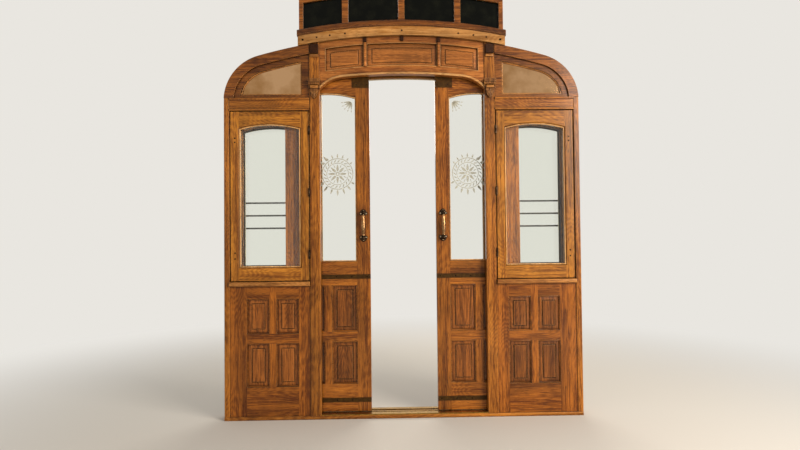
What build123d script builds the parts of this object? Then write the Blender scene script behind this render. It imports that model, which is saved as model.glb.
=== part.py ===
from build123d import *
import math
import os

# End partition of a tramcar saloon, in varnished oak. A pair of glazed leaves slides apart into
# pockets, and a hinged glazed sash covers the saloon side of each pocket.
# Sizes are in millimetres. X runs to the right as seen from the saloon, Y runs away from the
# saloon and Z runs up. The origin is at the middle of the underside of the floor sill.

os.makedirs("parts", exist_ok=True)

# Overall form: a flat roof arc, with a tighter arc at each top corner
half_width = 1020
roof_crown = 2188
roof_radius = 3000
corner_radius = 270

# Depths, from the middle of the leaves outwards
leaf_thickness = 35
pocket_gap = 8.5
front_thickness = 40
back_thickness = 32

# Clearances: pieces that are fitted together, and pieces that swing or slide past each other
seat_gap = 0.3
swing_gap = 5

# Floor sill and brass threshold
sill_height = 20
floor_rail_width = 16
floor_rail_height = 4
threshold_height = 6
nosing_radius = 4

# Posts
doorway_half = 474
door_post_width = 60
corner_post_width = 31
post_chamfer = 3
coach_bolt_radius = 5.5
coach_bolt_spacing = 1200
coach_bolt_mid_height = 900

# Side bays: the window sill on the dado, and the transom rail at the springing of the corner arc
dado_top = 755
window_sill_height = 26
window_sill_reach = 16
window_sill_nose = 9
transom_above_springing = 18
transom_height = 74
transom_bead = 6

# Dado framing
dado_inner_stile = 66
dado_outer_stile = 95
dado_muntin = 40
dado_top_rail = 72
dado_depth = 34

# Two rows of raised panels, at the same heights in the dado and in the leaves
bottom_rail_top = 186
middle_rail_bottom = 430
middle_rail_height = 56

# Raised panels
panel_core = 12
panel_rise = 6
panel_bevel = 5
panel_margin = 18

# Fascia over the doorway: an arch below, and three panels under the roof arc
fascia_depth = 34
fascia_top_rail = 40
fascia_panel_height = 127
fascia_foot_rail = 54
fascia_end_stile = 35
fascia_muntin = 24
fascia_middle_half = 200
arch_radius = 3400
arch_corner_radius = 196
arch_corner_run = 149
arch_bead_width = 12
arch_bead_rise = 6

# Carline across the top of the partition, with its cap moulding
carline_half = 595
carline_height = 52
carline_reach = 14
carline_bolt_radius = 6.5
carline_bolt_inset = 28
cap_height = 36
cap_reach = 22
cap_overhang = 4
cap_round = 12
cap_chamfer = 6

# Small iron brackets under the carline, on the fascia and on the posts
fascia_bracket_width = 17
fascia_bracket_height = 26
fascia_bracket_rise = 10
post_bracket_width = 46
post_bracket_height = 54
post_bracket_rise = 12
bracket_drop = 3
bracket_chamfer = 2.5

# Clerestory end lights over the carline
clerestory_depth = 40
clerestory_front = -30
clerestory_bottom_rail = 12
clerestory_pane_height = 158
clerestory_top_rail = 60
clerestory_post = 24
clerestory_mullion = 36
clerestory_pitch_share = 0.55
pane_thickness = 5

# Carved corbels at the springing of the arch
corbel_below_crown = 33
corbel_abacus = 17
corbel_fillet = 6
corbel_cyma = 22
corbel_neck = 6
corbel_reach = 26
corbel_swell = 2
corbel_side = 3
drop_height = 57
drop_width = 46
drop_shoulder = 33
drop_waist_width = 39
drop_waist_height = 26
drop_rise = 13
drop_lobe_radius = 10

# Quadrant lights: a rib along the roof line, a frame inside it and a mirror
rib_width = 55
rib_reach = 4
fanlight_frame_width = 33
fanlight_sill = 17
fanlight_stile = 43
fanlight_depth = 32
mirror_thickness = 6
mirror_setback = 16
roof_cap_thickness = 14

# Hinged sashes
sash_thickness = 32
sash_closing_gap = 7
sash_stile = 48
sash_bottom_rail = 76
sash_top_rail = 97
sash_arch_rise = 25
glass_thickness = 5
glazing_bevel = 6

# Butt hinges of the sashes
hinge_above_foot = 148
hinge_below_top = 109
hinge_height = 48
hinge_leaf_thickness = 2
hinge_leaf_width = 28
hinge_knuckle_radius = 4.5
hinge_play = 0.2

# Small turned pieces, such as the outer knuckles of a hinge, have flats instead of a round
small_turned_sides = 12

# Sliding leaves, at rest partly open
leaf_lap = 14
leaf_rest = 192
leaf_bottom = 29.5
leaf_above_crown = 18
leaf_stile = 78
leaf_muntin = 42
leaf_top_rail = 142
leaf_glass_rise = 27

# Dark metal strips across both faces of a leaf, above its bottom board and under its glass rail
bottom_board = 53.5
strip_above_sill = 9
leaf_glass_rail = 75
leaf_rail_under_strip = 37
strip_height = 24
strip_thickness = 3

# Guide plates at the top leading corner of a leaf, and the sheaves that it runs on
guide_plate_width = 100
guide_plate_height = 78
guide_plate_below_top = 7
guide_plate_thickness = 3
sheave_radius = 25
sheave_thickness = 8
sheave_slot_play = 0.7
sheave_inset = 70

# Pull handles: two round bosses on three-lobed plates, and a turned grip between them
handle_mid_height = 1097
handle_length = 146
handle_plate_thickness = 5
handle_lobe_radius = 10
handle_lobe_spread = 14
handle_lobe_reach = 11
boss_radius = 11
handle_standoff = 30
grip_end_radius = 7.5
grip_middle_radius = 11

# Platform side: window as wide as the sash's, and guard rails over it
wall_recess_depth = 6
wall_panel_margin = 60
guard_rail_count = 3
guard_rail_lowest = 1087
guard_rail_pitch = 75
guard_rail_radius = 4.5
guard_rail_standoff = 14
guard_foot_width = 16
guard_foot_from_glass = 22

# Depths worked out from those above
pocket_face = leaf_thickness / 2 + pocket_gap
front_face = -(pocket_face + front_thickness)
back_face = pocket_face + back_thickness
wall_depth = back_face - front_face

# Roof line
roof_centre = roof_crown - roof_radius
corner_x = half_width - corner_radius
corner_z = roof_centre + math.sqrt((roof_radius - corner_radius) ** 2 - corner_x**2)
corner_turn = math.asin(corner_x / (roof_radius - corner_radius))

# Widths and heights of the framing
sill_top = dado_top + window_sill_height
transom_top = corner_z + transom_above_springing
transom_bottom = transom_top - transom_height
post_outer = doorway_half + door_post_width
post_middle = (doorway_half + post_outer) / 2
corner_inner = half_width - corner_post_width
fascia_panel_foot = fascia_top_rail + fascia_panel_height
arch_crown = roof_crown - fascia_panel_foot - fascia_foot_rail
arch_corner_from_axis = doorway_half - arch_corner_run
corbel_top = arch_crown - corbel_below_crown
cyma_top = corbel_top - corbel_abacus - corbel_fillet
corbel_bottom = cyma_top - corbel_cyma - corbel_neck
drop_foot = corbel_bottom - drop_height

# Quadrant lights
light_low = transom_top + fanlight_sill
light_inner = post_outer + fanlight_stile
light_inset = rib_width + fanlight_frame_width

# Sashes, and the glass in them
sash_inner = post_outer + swing_gap
sash_outer = corner_inner - sash_closing_gap
sash_bottom = sill_top + swing_gap
sash_top = transom_bottom - swing_gap
glass_inner = sash_inner + sash_stile
glass_outer = sash_outer - sash_stile
glass_bottom = sash_bottom + sash_bottom_rail
glass_spring = sash_top - sash_top_rail
hinge_low = sash_bottom + hinge_above_foot
hinge_high = sash_top - hinge_below_top
hinge_heights = [hinge_low, (hinge_low + hinge_high) / 2, hinge_high]

# Leaves
leaf_width = doorway_half + leaf_lap
leaf_outer = leaf_rest + leaf_width
leaf_top = arch_crown + leaf_above_crown
leaf_glass_spring = leaf_top - leaf_top_rail
low_strip = leaf_bottom + bottom_board
high_strip = sill_top + strip_above_sill
leaf_glass_bottom = high_strip + strip_height + leaf_glass_rail
guide_plate_top = leaf_top - guide_plate_below_top
handle_heights = [handle_mid_height - handle_length / 2, handle_mid_height + handle_length / 2]
grip_taper = math.degrees(math.atan((grip_middle_radius - grip_end_radius) / (handle_length / 2)))
guard_rail_heights = [guard_rail_lowest + number * guard_rail_pitch for number in range(guard_rail_count)]

# Rows of raised panels. Columns: underside, top
lower_row = (bottom_rail_top, middle_rail_bottom)
upper_row_foot = middle_rail_bottom + middle_rail_height
dado_rows = [lower_row, (upper_row_foot, dado_top - dado_top_rail)]
leaf_rows = [lower_row, (upper_row_foot, high_strip - leaf_rail_under_strip)]


def upright(depth):
    """Upright plane at a depth: its x is X, its y is Z, and it is extruded towards the saloon."""
    return Plane.XZ.offset(-depth)


def roof_z(x, offset=0):
    """Height of the flat roof arc, or of an arc beside it, at a distance from the axis."""
    return roof_centre + math.sqrt((roof_radius + offset) ** 2 - x**2)


def box_outline(x_low, x_high, z_low, z_high):
    """Rectangle between two widths and two heights."""
    with BuildSketch() as outline:
        with Locations(((x_low + x_high) / 2, (z_low + z_high) / 2)):
            Rectangle(x_high - x_low, z_high - z_low)
    return outline.sketch


def roof_band(x_low, x_high, low, high):
    """Outline between two arcs that run beside the roof arc, at offsets from it."""
    x_mid = (x_low + x_high) / 2
    with BuildSketch() as outline:
        with BuildLine():
            low_start = (x_low, roof_z(x_low, low))
            low_end = (x_high, roof_z(x_high, low))
            high_start = (x_low, roof_z(x_low, high))
            high_end = (x_high, roof_z(x_high, high))
            ThreePointArc(low_start, (x_mid, roof_z(x_mid, low)), low_end)
            Line(low_end, high_end)
            ThreePointArc(high_end, (x_mid, roof_z(x_mid, high)), high_start)
            Line(high_start, low_start)
        make_face()
    return outline.sketch


def under_roof(x_low, x_high, z_low):
    """Outline from a level line up to the roof arc."""
    x_mid = (x_low + x_high) / 2
    with BuildSketch() as outline:
        with BuildLine():
            Polyline((x_low, roof_z(x_low)), (x_low, z_low), (x_high, z_low), (x_high, roof_z(x_high)))
            ThreePointArc((x_high, roof_z(x_high)), (x_mid, roof_z(x_mid)), (x_low, roof_z(x_low)))
        make_face()
    return outline.sketch


def quadrant(x_low, z_low, inset):
    """Outline of a top corner: level below, upright inside, and the two roof arcs moved inwards."""
    radius = corner_radius - inset
    tangent_x = corner_x + radius * math.sin(corner_turn)
    tangent_z = corner_z + radius * math.cos(corner_turn)
    end_x = corner_x + math.sqrt(radius**2 - (z_low - corner_z) ** 2)
    end_turn = math.atan2(end_x - corner_x, z_low - corner_z)
    mid_turn = (corner_turn + end_turn) / 2
    mid_x = corner_x + radius * math.sin(mid_turn)
    mid_z = corner_z + radius * math.cos(mid_turn)
    flat_x = (x_low + tangent_x) / 2
    inner_head = (x_low, roof_z(x_low, -inset))
    with BuildSketch() as outline:
        with BuildLine():
            Polyline(inner_head, (x_low, z_low), (end_x, z_low))
            ThreePointArc((end_x, z_low), (mid_x, mid_z), (tangent_x, tangent_z))
            ThreePointArc((tangent_x, tangent_z), (flat_x, roof_z(flat_x, -inset)), inner_head)
        make_face()
    return outline.sketch


def doorway_arch(half, z_low, inset):
    """Outline of the arched head of the doorway: a flat arc between two tighter ones."""
    centre_z = arch_crown - arch_radius
    side_z = centre_z + math.sqrt((arch_radius - arch_corner_radius) ** 2 - arch_corner_from_axis**2)
    turn = math.asin(arch_corner_from_axis / (arch_radius - arch_corner_radius))
    radius = arch_corner_radius + inset
    tangent_x = arch_corner_from_axis + radius * math.sin(turn)
    tangent_z = side_z + radius * math.cos(turn)
    end_turn = math.asin((half - arch_corner_from_axis) / radius)
    end_z = side_z + radius * math.cos(end_turn)
    mid_turn = (turn + end_turn) / 2
    mid_x = arch_corner_from_axis + radius * math.sin(mid_turn)
    mid_z = side_z + radius * math.cos(mid_turn)
    with BuildSketch() as outline:
        with BuildLine():
            Polyline((-half, end_z), (-half, z_low), (half, z_low), (half, end_z))
            ThreePointArc((half, end_z), (mid_x, mid_z), (tangent_x, tangent_z))
            ThreePointArc((tangent_x, tangent_z), (0, arch_crown + inset), (-tangent_x, tangent_z))
            ThreePointArc((-tangent_x, tangent_z), (-mid_x, mid_z), (-half, end_z))
        make_face()
    return outline.sketch


def arched_light(x_low, x_high, z_low, z_spring, rise):
    """Outline of a light with a segmental head."""
    x_mid = (x_low + x_high) / 2
    with BuildSketch() as outline:
        with BuildLine():
            Polyline((x_low, z_spring), (x_low, z_low), (x_high, z_low), (x_high, z_spring))
            ThreePointArc((x_high, z_spring), (x_mid, z_spring + rise), (x_low, z_spring))
        make_face()
    return outline.sketch


def side_light(gap):
    """Light of a sash and of the wall behind it, or with a gap the outline of its pane."""
    low = glass_bottom + gap
    spring = glass_spring - gap
    return arched_light(glass_inner + gap, glass_outer - gap, low, spring, sash_arch_rise)


def leaf_light(gap):
    """Light of a sliding leaf, or with a gap the outline of its pane."""
    x_low = leaf_rest + leaf_stile + gap
    x_high = leaf_outer - leaf_stile - gap
    return arched_light(x_low, x_high, leaf_glass_bottom + gap, leaf_glass_spring - gap, leaf_glass_rise)


def raised_panel(outline, field, depth, both_faces):
    """Panel with a bevelled raised field on its saloon face, and on its other face too if asked."""
    with BuildPart() as panel:
        with BuildSketch(upright(depth + panel_core / 2)):
            add(outline)
        extrude(amount=panel_core)
        with BuildSketch(upright(depth - panel_core / 2)):
            add(field)
        extrude(amount=panel_rise)
        chamfer(panel.faces().sort_by(Axis.Y)[0].edges(), length=panel_bevel)
        if both_faces:
            with BuildSketch(upright(depth + panel_core / 2)):
                add(field)
            extrude(amount=-panel_rise)
            chamfer(panel.faces().sort_by(Axis.Y)[-1].edges(), length=panel_bevel)
    return panel.part


def panel_columns(x_low, x_high, muntin):
    """The two columns of panels between a pair of stiles, as (inner, outer) widths."""
    width = (x_high - x_low - muntin) / 2
    return [(x_low, x_low + width), (x_high - width, x_high)]


dado_columns = panel_columns(post_outer + dado_inner_stile, corner_inner - dado_outer_stile, dado_muntin)
leaf_columns = panel_columns(leaf_rest + leaf_stile, leaf_outer - leaf_stile, leaf_muntin)

# Floor sill, with a rounded nosing towards the saloon
with BuildPart() as floor_sill:
    with BuildSketch(Plane.XY):
        with Locations((0, (front_face + back_face) / 2)):
            Rectangle(2 * half_width, wall_depth)
    extrude(amount=sill_height)
    nosing = floor_sill.edges().filter_by(Axis.X).group_by(Axis.Z)[-1].sort_by(Axis.Y)[0]
    fillet(nosing, radius=nosing_radius)
floor_sill.part.label = "floor_sill"
export_step(floor_sill.part, "parts/floor_sill.step")

# Brass threshold: a running rail along the middle and a strip in front of it and behind it
# Columns: half length, near side, far side, height
threshold_table = [
    (corner_inner - swing_gap, -floor_rail_width / 2, floor_rail_width / 2, floor_rail_height),
    (doorway_half - seat_gap, front_face + nosing_radius, -pocket_face, threshold_height),
    (doorway_half - seat_gap, pocket_face, back_face, threshold_height),
]
with BuildPart() as threshold:
    for half_length, y_near, y_far, height in threshold_table:
        with BuildSketch(Plane.XY.offset(sill_height)):
            with Locations((0, (y_near + y_far) / 2)):
                Rectangle(2 * half_length, y_far - y_near)
        extrude(amount=height)
threshold.part.label = "threshold"
export_step(threshold.part, "parts/threshold.step")

# Posts: full depth at the outer corners, and in front of the pockets beside the doorway
for side in ("left", "right"):
    with BuildPart() as corner_post:
        with BuildSketch(Plane.XY.offset(sill_height)):
            with Locations(((corner_inner + half_width) / 2, (front_face + back_face) / 2)):
                Rectangle(corner_post_width, wall_depth)
        extrude(amount=transom_top - sill_height)
        chamfer(corner_post.edges().filter_by(Axis.Z).group_by(Axis.Y)[0], length=post_chamfer)
        with BuildSketch(Plane.YZ.offset(corner_inner)):
            with Locations((0, coach_bolt_mid_height)):
                with GridLocations(0, coach_bolt_spacing, 1, 2):
                    Circle(coach_bolt_radius)
        extrude(amount=corner_post_width, mode=Mode.SUBTRACT)
        if side == "left":
            mirror(about=Plane.YZ, mode=Mode.REPLACE)
    corner_post.part.label = f"corner_post_{side}"
    export_step(corner_post.part, f"parts/corner_post_{side}.step")

    with BuildPart() as door_post:
        with BuildSketch(upright(-pocket_face)):
            add(under_roof(doorway_half, post_outer, sill_height))
        extrude(amount=front_thickness)
        chamfer(door_post.edges().filter_by(Axis.Z).group_by(Axis.Y)[0], length=post_chamfer)
        if side == "left":
            mirror(about=Plane.YZ, mode=Mode.REPLACE)
    door_post.part.label = f"door_post_{side}"
    export_step(door_post.part, f"parts/door_post_{side}.step")

# Carved corbels on the door posts: a moulded capital over a lobed drop
with BuildPart() as corbels:
    with BuildSketch(Plane.YZ.offset(post_middle)):
        with BuildLine():
            neck = front_face - corbel_neck
            shelf = front_face - corbel_reach
            cyma_foot = (neck, corbel_bottom + corbel_neck)
            cyma_middle = ((neck + shelf + corbel_neck) / 2, cyma_top - corbel_cyma / 2)
            cyma_head = (shelf + corbel_neck, cyma_top)
            Polyline((front_face, corbel_bottom), (neck, corbel_bottom), cyma_foot)
            SagittaArc(cyma_foot, cyma_middle, -corbel_swell)
            SagittaArc(cyma_middle, cyma_head, corbel_swell)
            Polyline(
                cyma_head,
                (shelf + corbel_neck, cyma_top + corbel_fillet),
                (shelf, cyma_top + corbel_fillet),
                (shelf, corbel_top),
                (front_face, corbel_top),
                (front_face, corbel_bottom),
            )
        make_face()
    extrude(amount=door_post_width / 2 + corbel_side, both=True)
    with BuildSketch(upright(front_face)):
        with BuildLine():
            shoulders = []
            for way in (-1, 1):
                shoulder = (post_middle + way * drop_shoulder / 2, corbel_bottom)
                waist = (post_middle + way * drop_waist_width / 2, corbel_bottom - drop_waist_height)
                ThreePointArc(shoulder, waist, (post_middle, drop_foot))
                shoulders.append(shoulder)
            Line(shoulders[0], shoulders[1])
        make_face()
        for way in (-1, 1):
            lobe_x = post_middle + way * (drop_width / 2 - drop_lobe_radius)
            with Locations((lobe_x, corbel_bottom - drop_lobe_radius)):
                Circle(drop_lobe_radius)
    extrude(amount=drop_rise)
    mirror(about=Plane.YZ)
corbels.part.label = "corbels"
export_step(corbels.part, "parts/corbels.step")

# Fascia over the doorway, with an arched foot and three panel openings
# Columns: near side, far side, seen from the axis
fascia_columns = [
    (-fascia_middle_half, fascia_middle_half),
    (fascia_middle_half + fascia_muntin, doorway_half - fascia_end_stile),
    (fascia_end_stile - doorway_half, -fascia_middle_half - fascia_muntin),
]
with BuildPart() as fascia_frame:
    with BuildSketch(upright(-pocket_face)):
        add(under_roof(seat_gap - doorway_half, doorway_half - seat_gap, drop_foot))
        add(doorway_arch(doorway_half, drop_foot - drop_height, 0), mode=Mode.SUBTRACT)
        for x_low, x_high in fascia_columns:
            add(roof_band(x_low, x_high, -fascia_panel_foot, -fascia_top_rail), mode=Mode.SUBTRACT)
    extrude(amount=fascia_depth)
    with BuildSketch(upright(-pocket_face - fascia_depth)):
        add(doorway_arch(doorway_half - seat_gap, corbel_bottom, arch_bead_width))
        add(doorway_arch(doorway_half, drop_foot, 0), mode=Mode.SUBTRACT)
    extrude(amount=arch_bead_rise)
fascia_frame.part.label = "fascia_frame"
export_step(fascia_frame.part, "parts/fascia_frame.step")

with BuildPart() as fascia_panels:
    for x_low, x_high in fascia_columns:
        seat = roof_band(
            x_low + seat_gap, x_high - seat_gap, seat_gap - fascia_panel_foot, -fascia_top_rail - seat_gap
        )
        field = roof_band(
            x_low + panel_margin,
            x_high - panel_margin,
            panel_margin - fascia_panel_foot,
            -fascia_top_rail - panel_margin,
        )
        add(raised_panel(seat, field, -pocket_face - fascia_depth / 2, False))
fascia_panels.part.label = "fascia_panels"
export_step(fascia_panels.part, "parts/fascia_panels.step")

# Carline: a bolted arched bearer, and the rounded moulding that caps it
with BuildPart() as carline:
    with BuildSketch(upright(back_face)):
        add(roof_band(-carline_half, carline_half, 0, carline_height))
        bolt_x = carline_half - carline_bolt_inset
        with Locations(*[(way * bolt_x, roof_z(bolt_x, carline_height / 2)) for way in (-1, 1)]):
            Circle(carline_bolt_radius, mode=Mode.SUBTRACT)
    extrude(amount=wall_depth + carline_reach)
carline.part.label = "carline"
export_step(carline.part, "parts/carline.step")

with BuildPart() as carline_cap:
    with BuildSketch(upright(back_face)):
        add(
            roof_band(
                -carline_half - cap_overhang,
                carline_half + cap_overhang,
                carline_height,
                carline_height + cap_height,
            )
        )
    extrude(amount=wall_depth + cap_reach)
    cap_arcs = carline_cap.faces().sort_by(Axis.Y)[0].edges().filter_by(GeomType.CIRCLE).sort_by(Axis.Z)
    fillet(cap_arcs[-1], radius=cap_round)
    chamfer(cap_arcs[0], length=cap_chamfer)
carline_cap.part.label = "carline_cap"
export_step(carline_cap.part, "parts/carline_cap.step")

# Iron brackets under the carline, over the fascia's muntins and at the heads of the posts
fascia_face = -pocket_face - fascia_depth
muntin_middle = fascia_middle_half + fascia_muntin / 2
# Columns: distance from the axis, face that it is fixed to, width, height, rise
bracket_table = [
    (0, fascia_face, fascia_bracket_width, fascia_bracket_height, fascia_bracket_rise),
    (muntin_middle, fascia_face, fascia_bracket_width, fascia_bracket_height, fascia_bracket_rise),
    (-muntin_middle, fascia_face, fascia_bracket_width, fascia_bracket_height, fascia_bracket_rise),
    (post_middle, front_face, post_bracket_width, post_bracket_height, post_bracket_rise),
    (-post_middle, front_face, post_bracket_width, post_bracket_height, post_bracket_rise),
]
with BuildPart() as carline_brackets:
    for from_axis, face, width, height, rise in bracket_table:
        top = roof_z(abs(from_axis) + width / 2) - bracket_drop
        with BuildSketch(upright(face)):
            with Locations((from_axis, top - height / 2)):
                Rectangle(width, height)
        extrude(amount=rise)
    front_rims = carline_brackets.faces().filter_by(Axis.Y).filter_by(lambda rim: rim.normal_at().Y < 0)
    chamfer(front_rims.edges(), length=bracket_chamfer)
carline_brackets.part.label = "carline_brackets"
export_step(carline_brackets.part, "parts/carline_brackets.step")

# Clerestory end lights: two wide ones in the middle and a narrower one at each end
clerestory_low = carline_height + cap_height
pane_low = clerestory_low + clerestory_bottom_rail
pane_high = pane_low + clerestory_pane_height
clerestory_pitch = carline_half * clerestory_pitch_share
wide_pane = (clerestory_mullion / 2, clerestory_pitch - clerestory_mullion / 2)
narrow_pane = (clerestory_pitch + clerestory_mullion / 2, carline_half - clerestory_post)
pane_columns = [wide_pane, narrow_pane]
pane_columns += [(-x_high, -x_low) for x_low, x_high in pane_columns]

with BuildPart() as clerestory_frame:
    with BuildSketch(upright(clerestory_front + clerestory_depth)):
        add(roof_band(-carline_half, carline_half, clerestory_low, pane_high + clerestory_top_rail))
        for x_low, x_high in pane_columns:
            add(roof_band(x_low, x_high, pane_low, pane_high), mode=Mode.SUBTRACT)
    extrude(amount=clerestory_depth)
clerestory_frame.part.label = "clerestory_frame"
export_step(clerestory_frame.part, "parts/clerestory_frame.step")

with BuildPart() as clerestory_panes:
    with BuildSketch(upright(clerestory_front + clerestory_depth / 2)):
        for x_low, x_high in pane_columns:
            add(roof_band(x_low + seat_gap, x_high - seat_gap, pane_low + seat_gap, pane_high - seat_gap))
    extrude(amount=pane_thickness)
clerestory_panes.part.label = "clerestory_panes"
export_step(clerestory_panes.part, "parts/clerestory_panes.step")

# Side bays on the saloon side, from the dado up to the quadrant light
for side in ("left", "right"):
    with BuildPart() as dado_frame:
        with BuildSketch(upright(-pocket_face)):
            add(box_outline(post_outer, corner_inner, sill_height, dado_top))
            for x_low, x_high in dado_columns:
                for z_low, z_high in dado_rows:
                    add(box_outline(x_low, x_high, z_low, z_high), mode=Mode.SUBTRACT)
        extrude(amount=dado_depth)
        if side == "left":
            mirror(about=Plane.YZ, mode=Mode.REPLACE)
    dado_frame.part.label = f"dado_frame_{side}"
    export_step(dado_frame.part, f"parts/dado_frame_{side}.step")

    with BuildPart() as dado_panels:
        for x_low, x_high in dado_columns:
            for z_low, z_high in dado_rows:
                seat = box_outline(x_low + seat_gap, x_high - seat_gap, z_low + seat_gap, z_high - seat_gap)
                field = box_outline(
                    x_low + panel_margin, x_high - panel_margin, z_low + panel_margin, z_high - panel_margin
                )
                add(raised_panel(seat, field, -pocket_face - dado_depth / 2, False))
        if side == "left":
            mirror(about=Plane.YZ, mode=Mode.REPLACE)
    dado_panels.part.label = f"dado_panels_{side}"
    export_step(dado_panels.part, f"parts/dado_panels_{side}.step")

    with BuildPart() as window_sill:
        with BuildSketch(upright(-pocket_face)):
            add(box_outline(post_outer, corner_inner, dado_top, sill_top))
        extrude(amount=front_thickness + window_sill_reach)
        sill_nose = window_sill.edges().filter_by(Axis.X).group_by(Axis.Y)[0]
        fillet(sill_nose, radius=window_sill_nose)
        if side == "left":
            mirror(about=Plane.YZ, mode=Mode.REPLACE)
    window_sill.part.label = f"window_sill_{side}"
    export_step(window_sill.part, f"parts/window_sill_{side}.step")

    with BuildPart() as transom_rail:
        with BuildSketch(upright(-pocket_face)):
            add(box_outline(post_outer, corner_inner, transom_bottom, transom_top))
        extrude(amount=front_thickness)
        with BuildSketch(upright(front_face)):
            add(box_outline(post_outer, corner_inner, transom_bottom, transom_bottom + 2 * transom_bead))
            add(box_outline(post_outer, corner_inner, transom_top - 2 * transom_bead, transom_top))
        extrude(amount=transom_bead)
        bead_nose = transom_rail.edges().filter_by(Axis.X).group_by(Axis.Y)[0]
        chamfer(bead_nose, length=transom_bead / 2)
        if side == "left":
            mirror(about=Plane.YZ, mode=Mode.REPLACE)
    transom_rail.part.label = f"transom_rail_{side}"
    export_step(transom_rail.part, f"parts/transom_rail_{side}.step")

    with BuildPart() as quadrant_rib:
        with BuildSketch(upright(-pocket_face)):
            add(quadrant(post_outer, transom_top, 0))
            add(quadrant(post_outer, transom_top, rib_width), mode=Mode.SUBTRACT)
        extrude(amount=front_thickness + rib_reach)
        if side == "left":
            mirror(about=Plane.YZ, mode=Mode.REPLACE)
    quadrant_rib.part.label = f"quadrant_rib_{side}"
    export_step(quadrant_rib.part, f"parts/quadrant_rib_{side}.step")

    with BuildPart() as fanlight_frame:
        with BuildSketch(upright(-pocket_face)):
            add(quadrant(post_outer, transom_top, rib_width + seat_gap))
            add(quadrant(light_inner, light_low, light_inset), mode=Mode.SUBTRACT)
        extrude(amount=fanlight_depth)
        if side == "left":
            mirror(about=Plane.YZ, mode=Mode.REPLACE)
    fanlight_frame.part.label = f"fanlight_frame_{side}"
    export_step(fanlight_frame.part, f"parts/fanlight_frame_{side}.step")

    with BuildPart() as fanlight_mirror:
        with BuildSketch(upright(-pocket_face - mirror_setback)):
            add(quadrant(light_inner + seat_gap, light_low + seat_gap, light_inset + seat_gap))
        extrude(amount=mirror_thickness)
        if side == "left":
            mirror(about=Plane.YZ, mode=Mode.REPLACE)
    fanlight_mirror.part.label = f"fanlight_mirror_{side}"
    export_step(fanlight_mirror.part, f"parts/fanlight_mirror_{side}.step")

# Hinged sashes over the pockets
knuckle_x = post_outer + swing_gap / 2
knuckle_y = front_face - hinge_knuckle_radius
knuckle_third = hinge_height / 3
plate_y = front_face + hinge_leaf_width / 2 + hinge_play
neck_y = (knuckle_y + front_face) / 2 + hinge_play
neck_depth = hinge_knuckle_radius + 2 * hinge_play
sash_glass_depth = front_face + sash_thickness / 2
for side in ("left", "right"):
    with BuildPart() as sash_frame:
        with BuildSketch(upright(front_face + sash_thickness)):
            add(box_outline(sash_inner, sash_outer, sash_bottom, sash_top))
            add(side_light(0), mode=Mode.SUBTRACT)
        extrude(amount=sash_thickness)
        sash_face = sash_frame.faces().sort_by(Axis.Y)[0]
        chamfer(sash_face.inner_wires()[0].edges(), length=glazing_bevel)
        if side == "left":
            mirror(about=Plane.YZ, mode=Mode.REPLACE)
    sash_frame.part.label = f"sash_frame_{side}"
    export_step(sash_frame.part, f"parts/sash_frame_{side}.step")

    with BuildPart() as sash_glass:
        with BuildSketch(upright(sash_glass_depth + glass_thickness / 2)):
            add(side_light(seat_gap))
        extrude(amount=glass_thickness)
        if side == "left":
            mirror(about=Plane.YZ, mode=Mode.REPLACE)
    sash_glass.part.label = f"sash_glass_{side}"
    export_step(sash_glass.part, f"parts/sash_glass_{side}.step")

    with BuildPart() as sash_hinges:
        plate_x = sash_inner - hinge_leaf_thickness / 2
        for height in hinge_heights:
            with BuildSketch(Plane.XY.offset(height - hinge_height / 2)):
                with Locations((plate_x, plate_y)):
                    Rectangle(hinge_leaf_thickness, hinge_leaf_width)
            extrude(amount=hinge_height)
            with BuildSketch(Plane.XY.offset(height - knuckle_third / 2 + hinge_play)):
                with Locations((knuckle_x, knuckle_y)):
                    Circle(hinge_knuckle_radius)
                with Locations((plate_x, neck_y)):
                    Rectangle(hinge_leaf_thickness, neck_depth)
            extrude(amount=knuckle_third - 2 * hinge_play)
        if side == "left":
            mirror(about=Plane.YZ, mode=Mode.REPLACE)
    sash_hinges.part.label = f"sash_hinges_{side}"
    export_step(sash_hinges.part, f"parts/sash_hinges_{side}.step")

# The posts' halves of the hinges, on both sides
with BuildPart() as post_hinges:
    plate_x = post_outer + hinge_leaf_thickness / 2
    for height in hinge_heights:
        leaf_low = height - hinge_height / 2
        with BuildSketch(Plane.XY.offset(leaf_low)):
            with Locations((plate_x, plate_y)):
                Rectangle(hinge_leaf_thickness, hinge_leaf_width)
        extrude(amount=hinge_height)
        for knuckle_low in (leaf_low, leaf_low + 2 * knuckle_third):
            with BuildSketch(Plane.XY.offset(knuckle_low)):
                with Locations((knuckle_x, knuckle_y)):
                    RegularPolygon(hinge_knuckle_radius, small_turned_sides)
                with Locations((plate_x, neck_y)):
                    Rectangle(hinge_leaf_thickness, neck_depth)
            extrude(amount=knuckle_third)
    mirror(about=Plane.YZ)
post_hinges.part.label = "post_hinges"
export_step(post_hinges.part, "parts/post_hinges.step")

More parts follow.
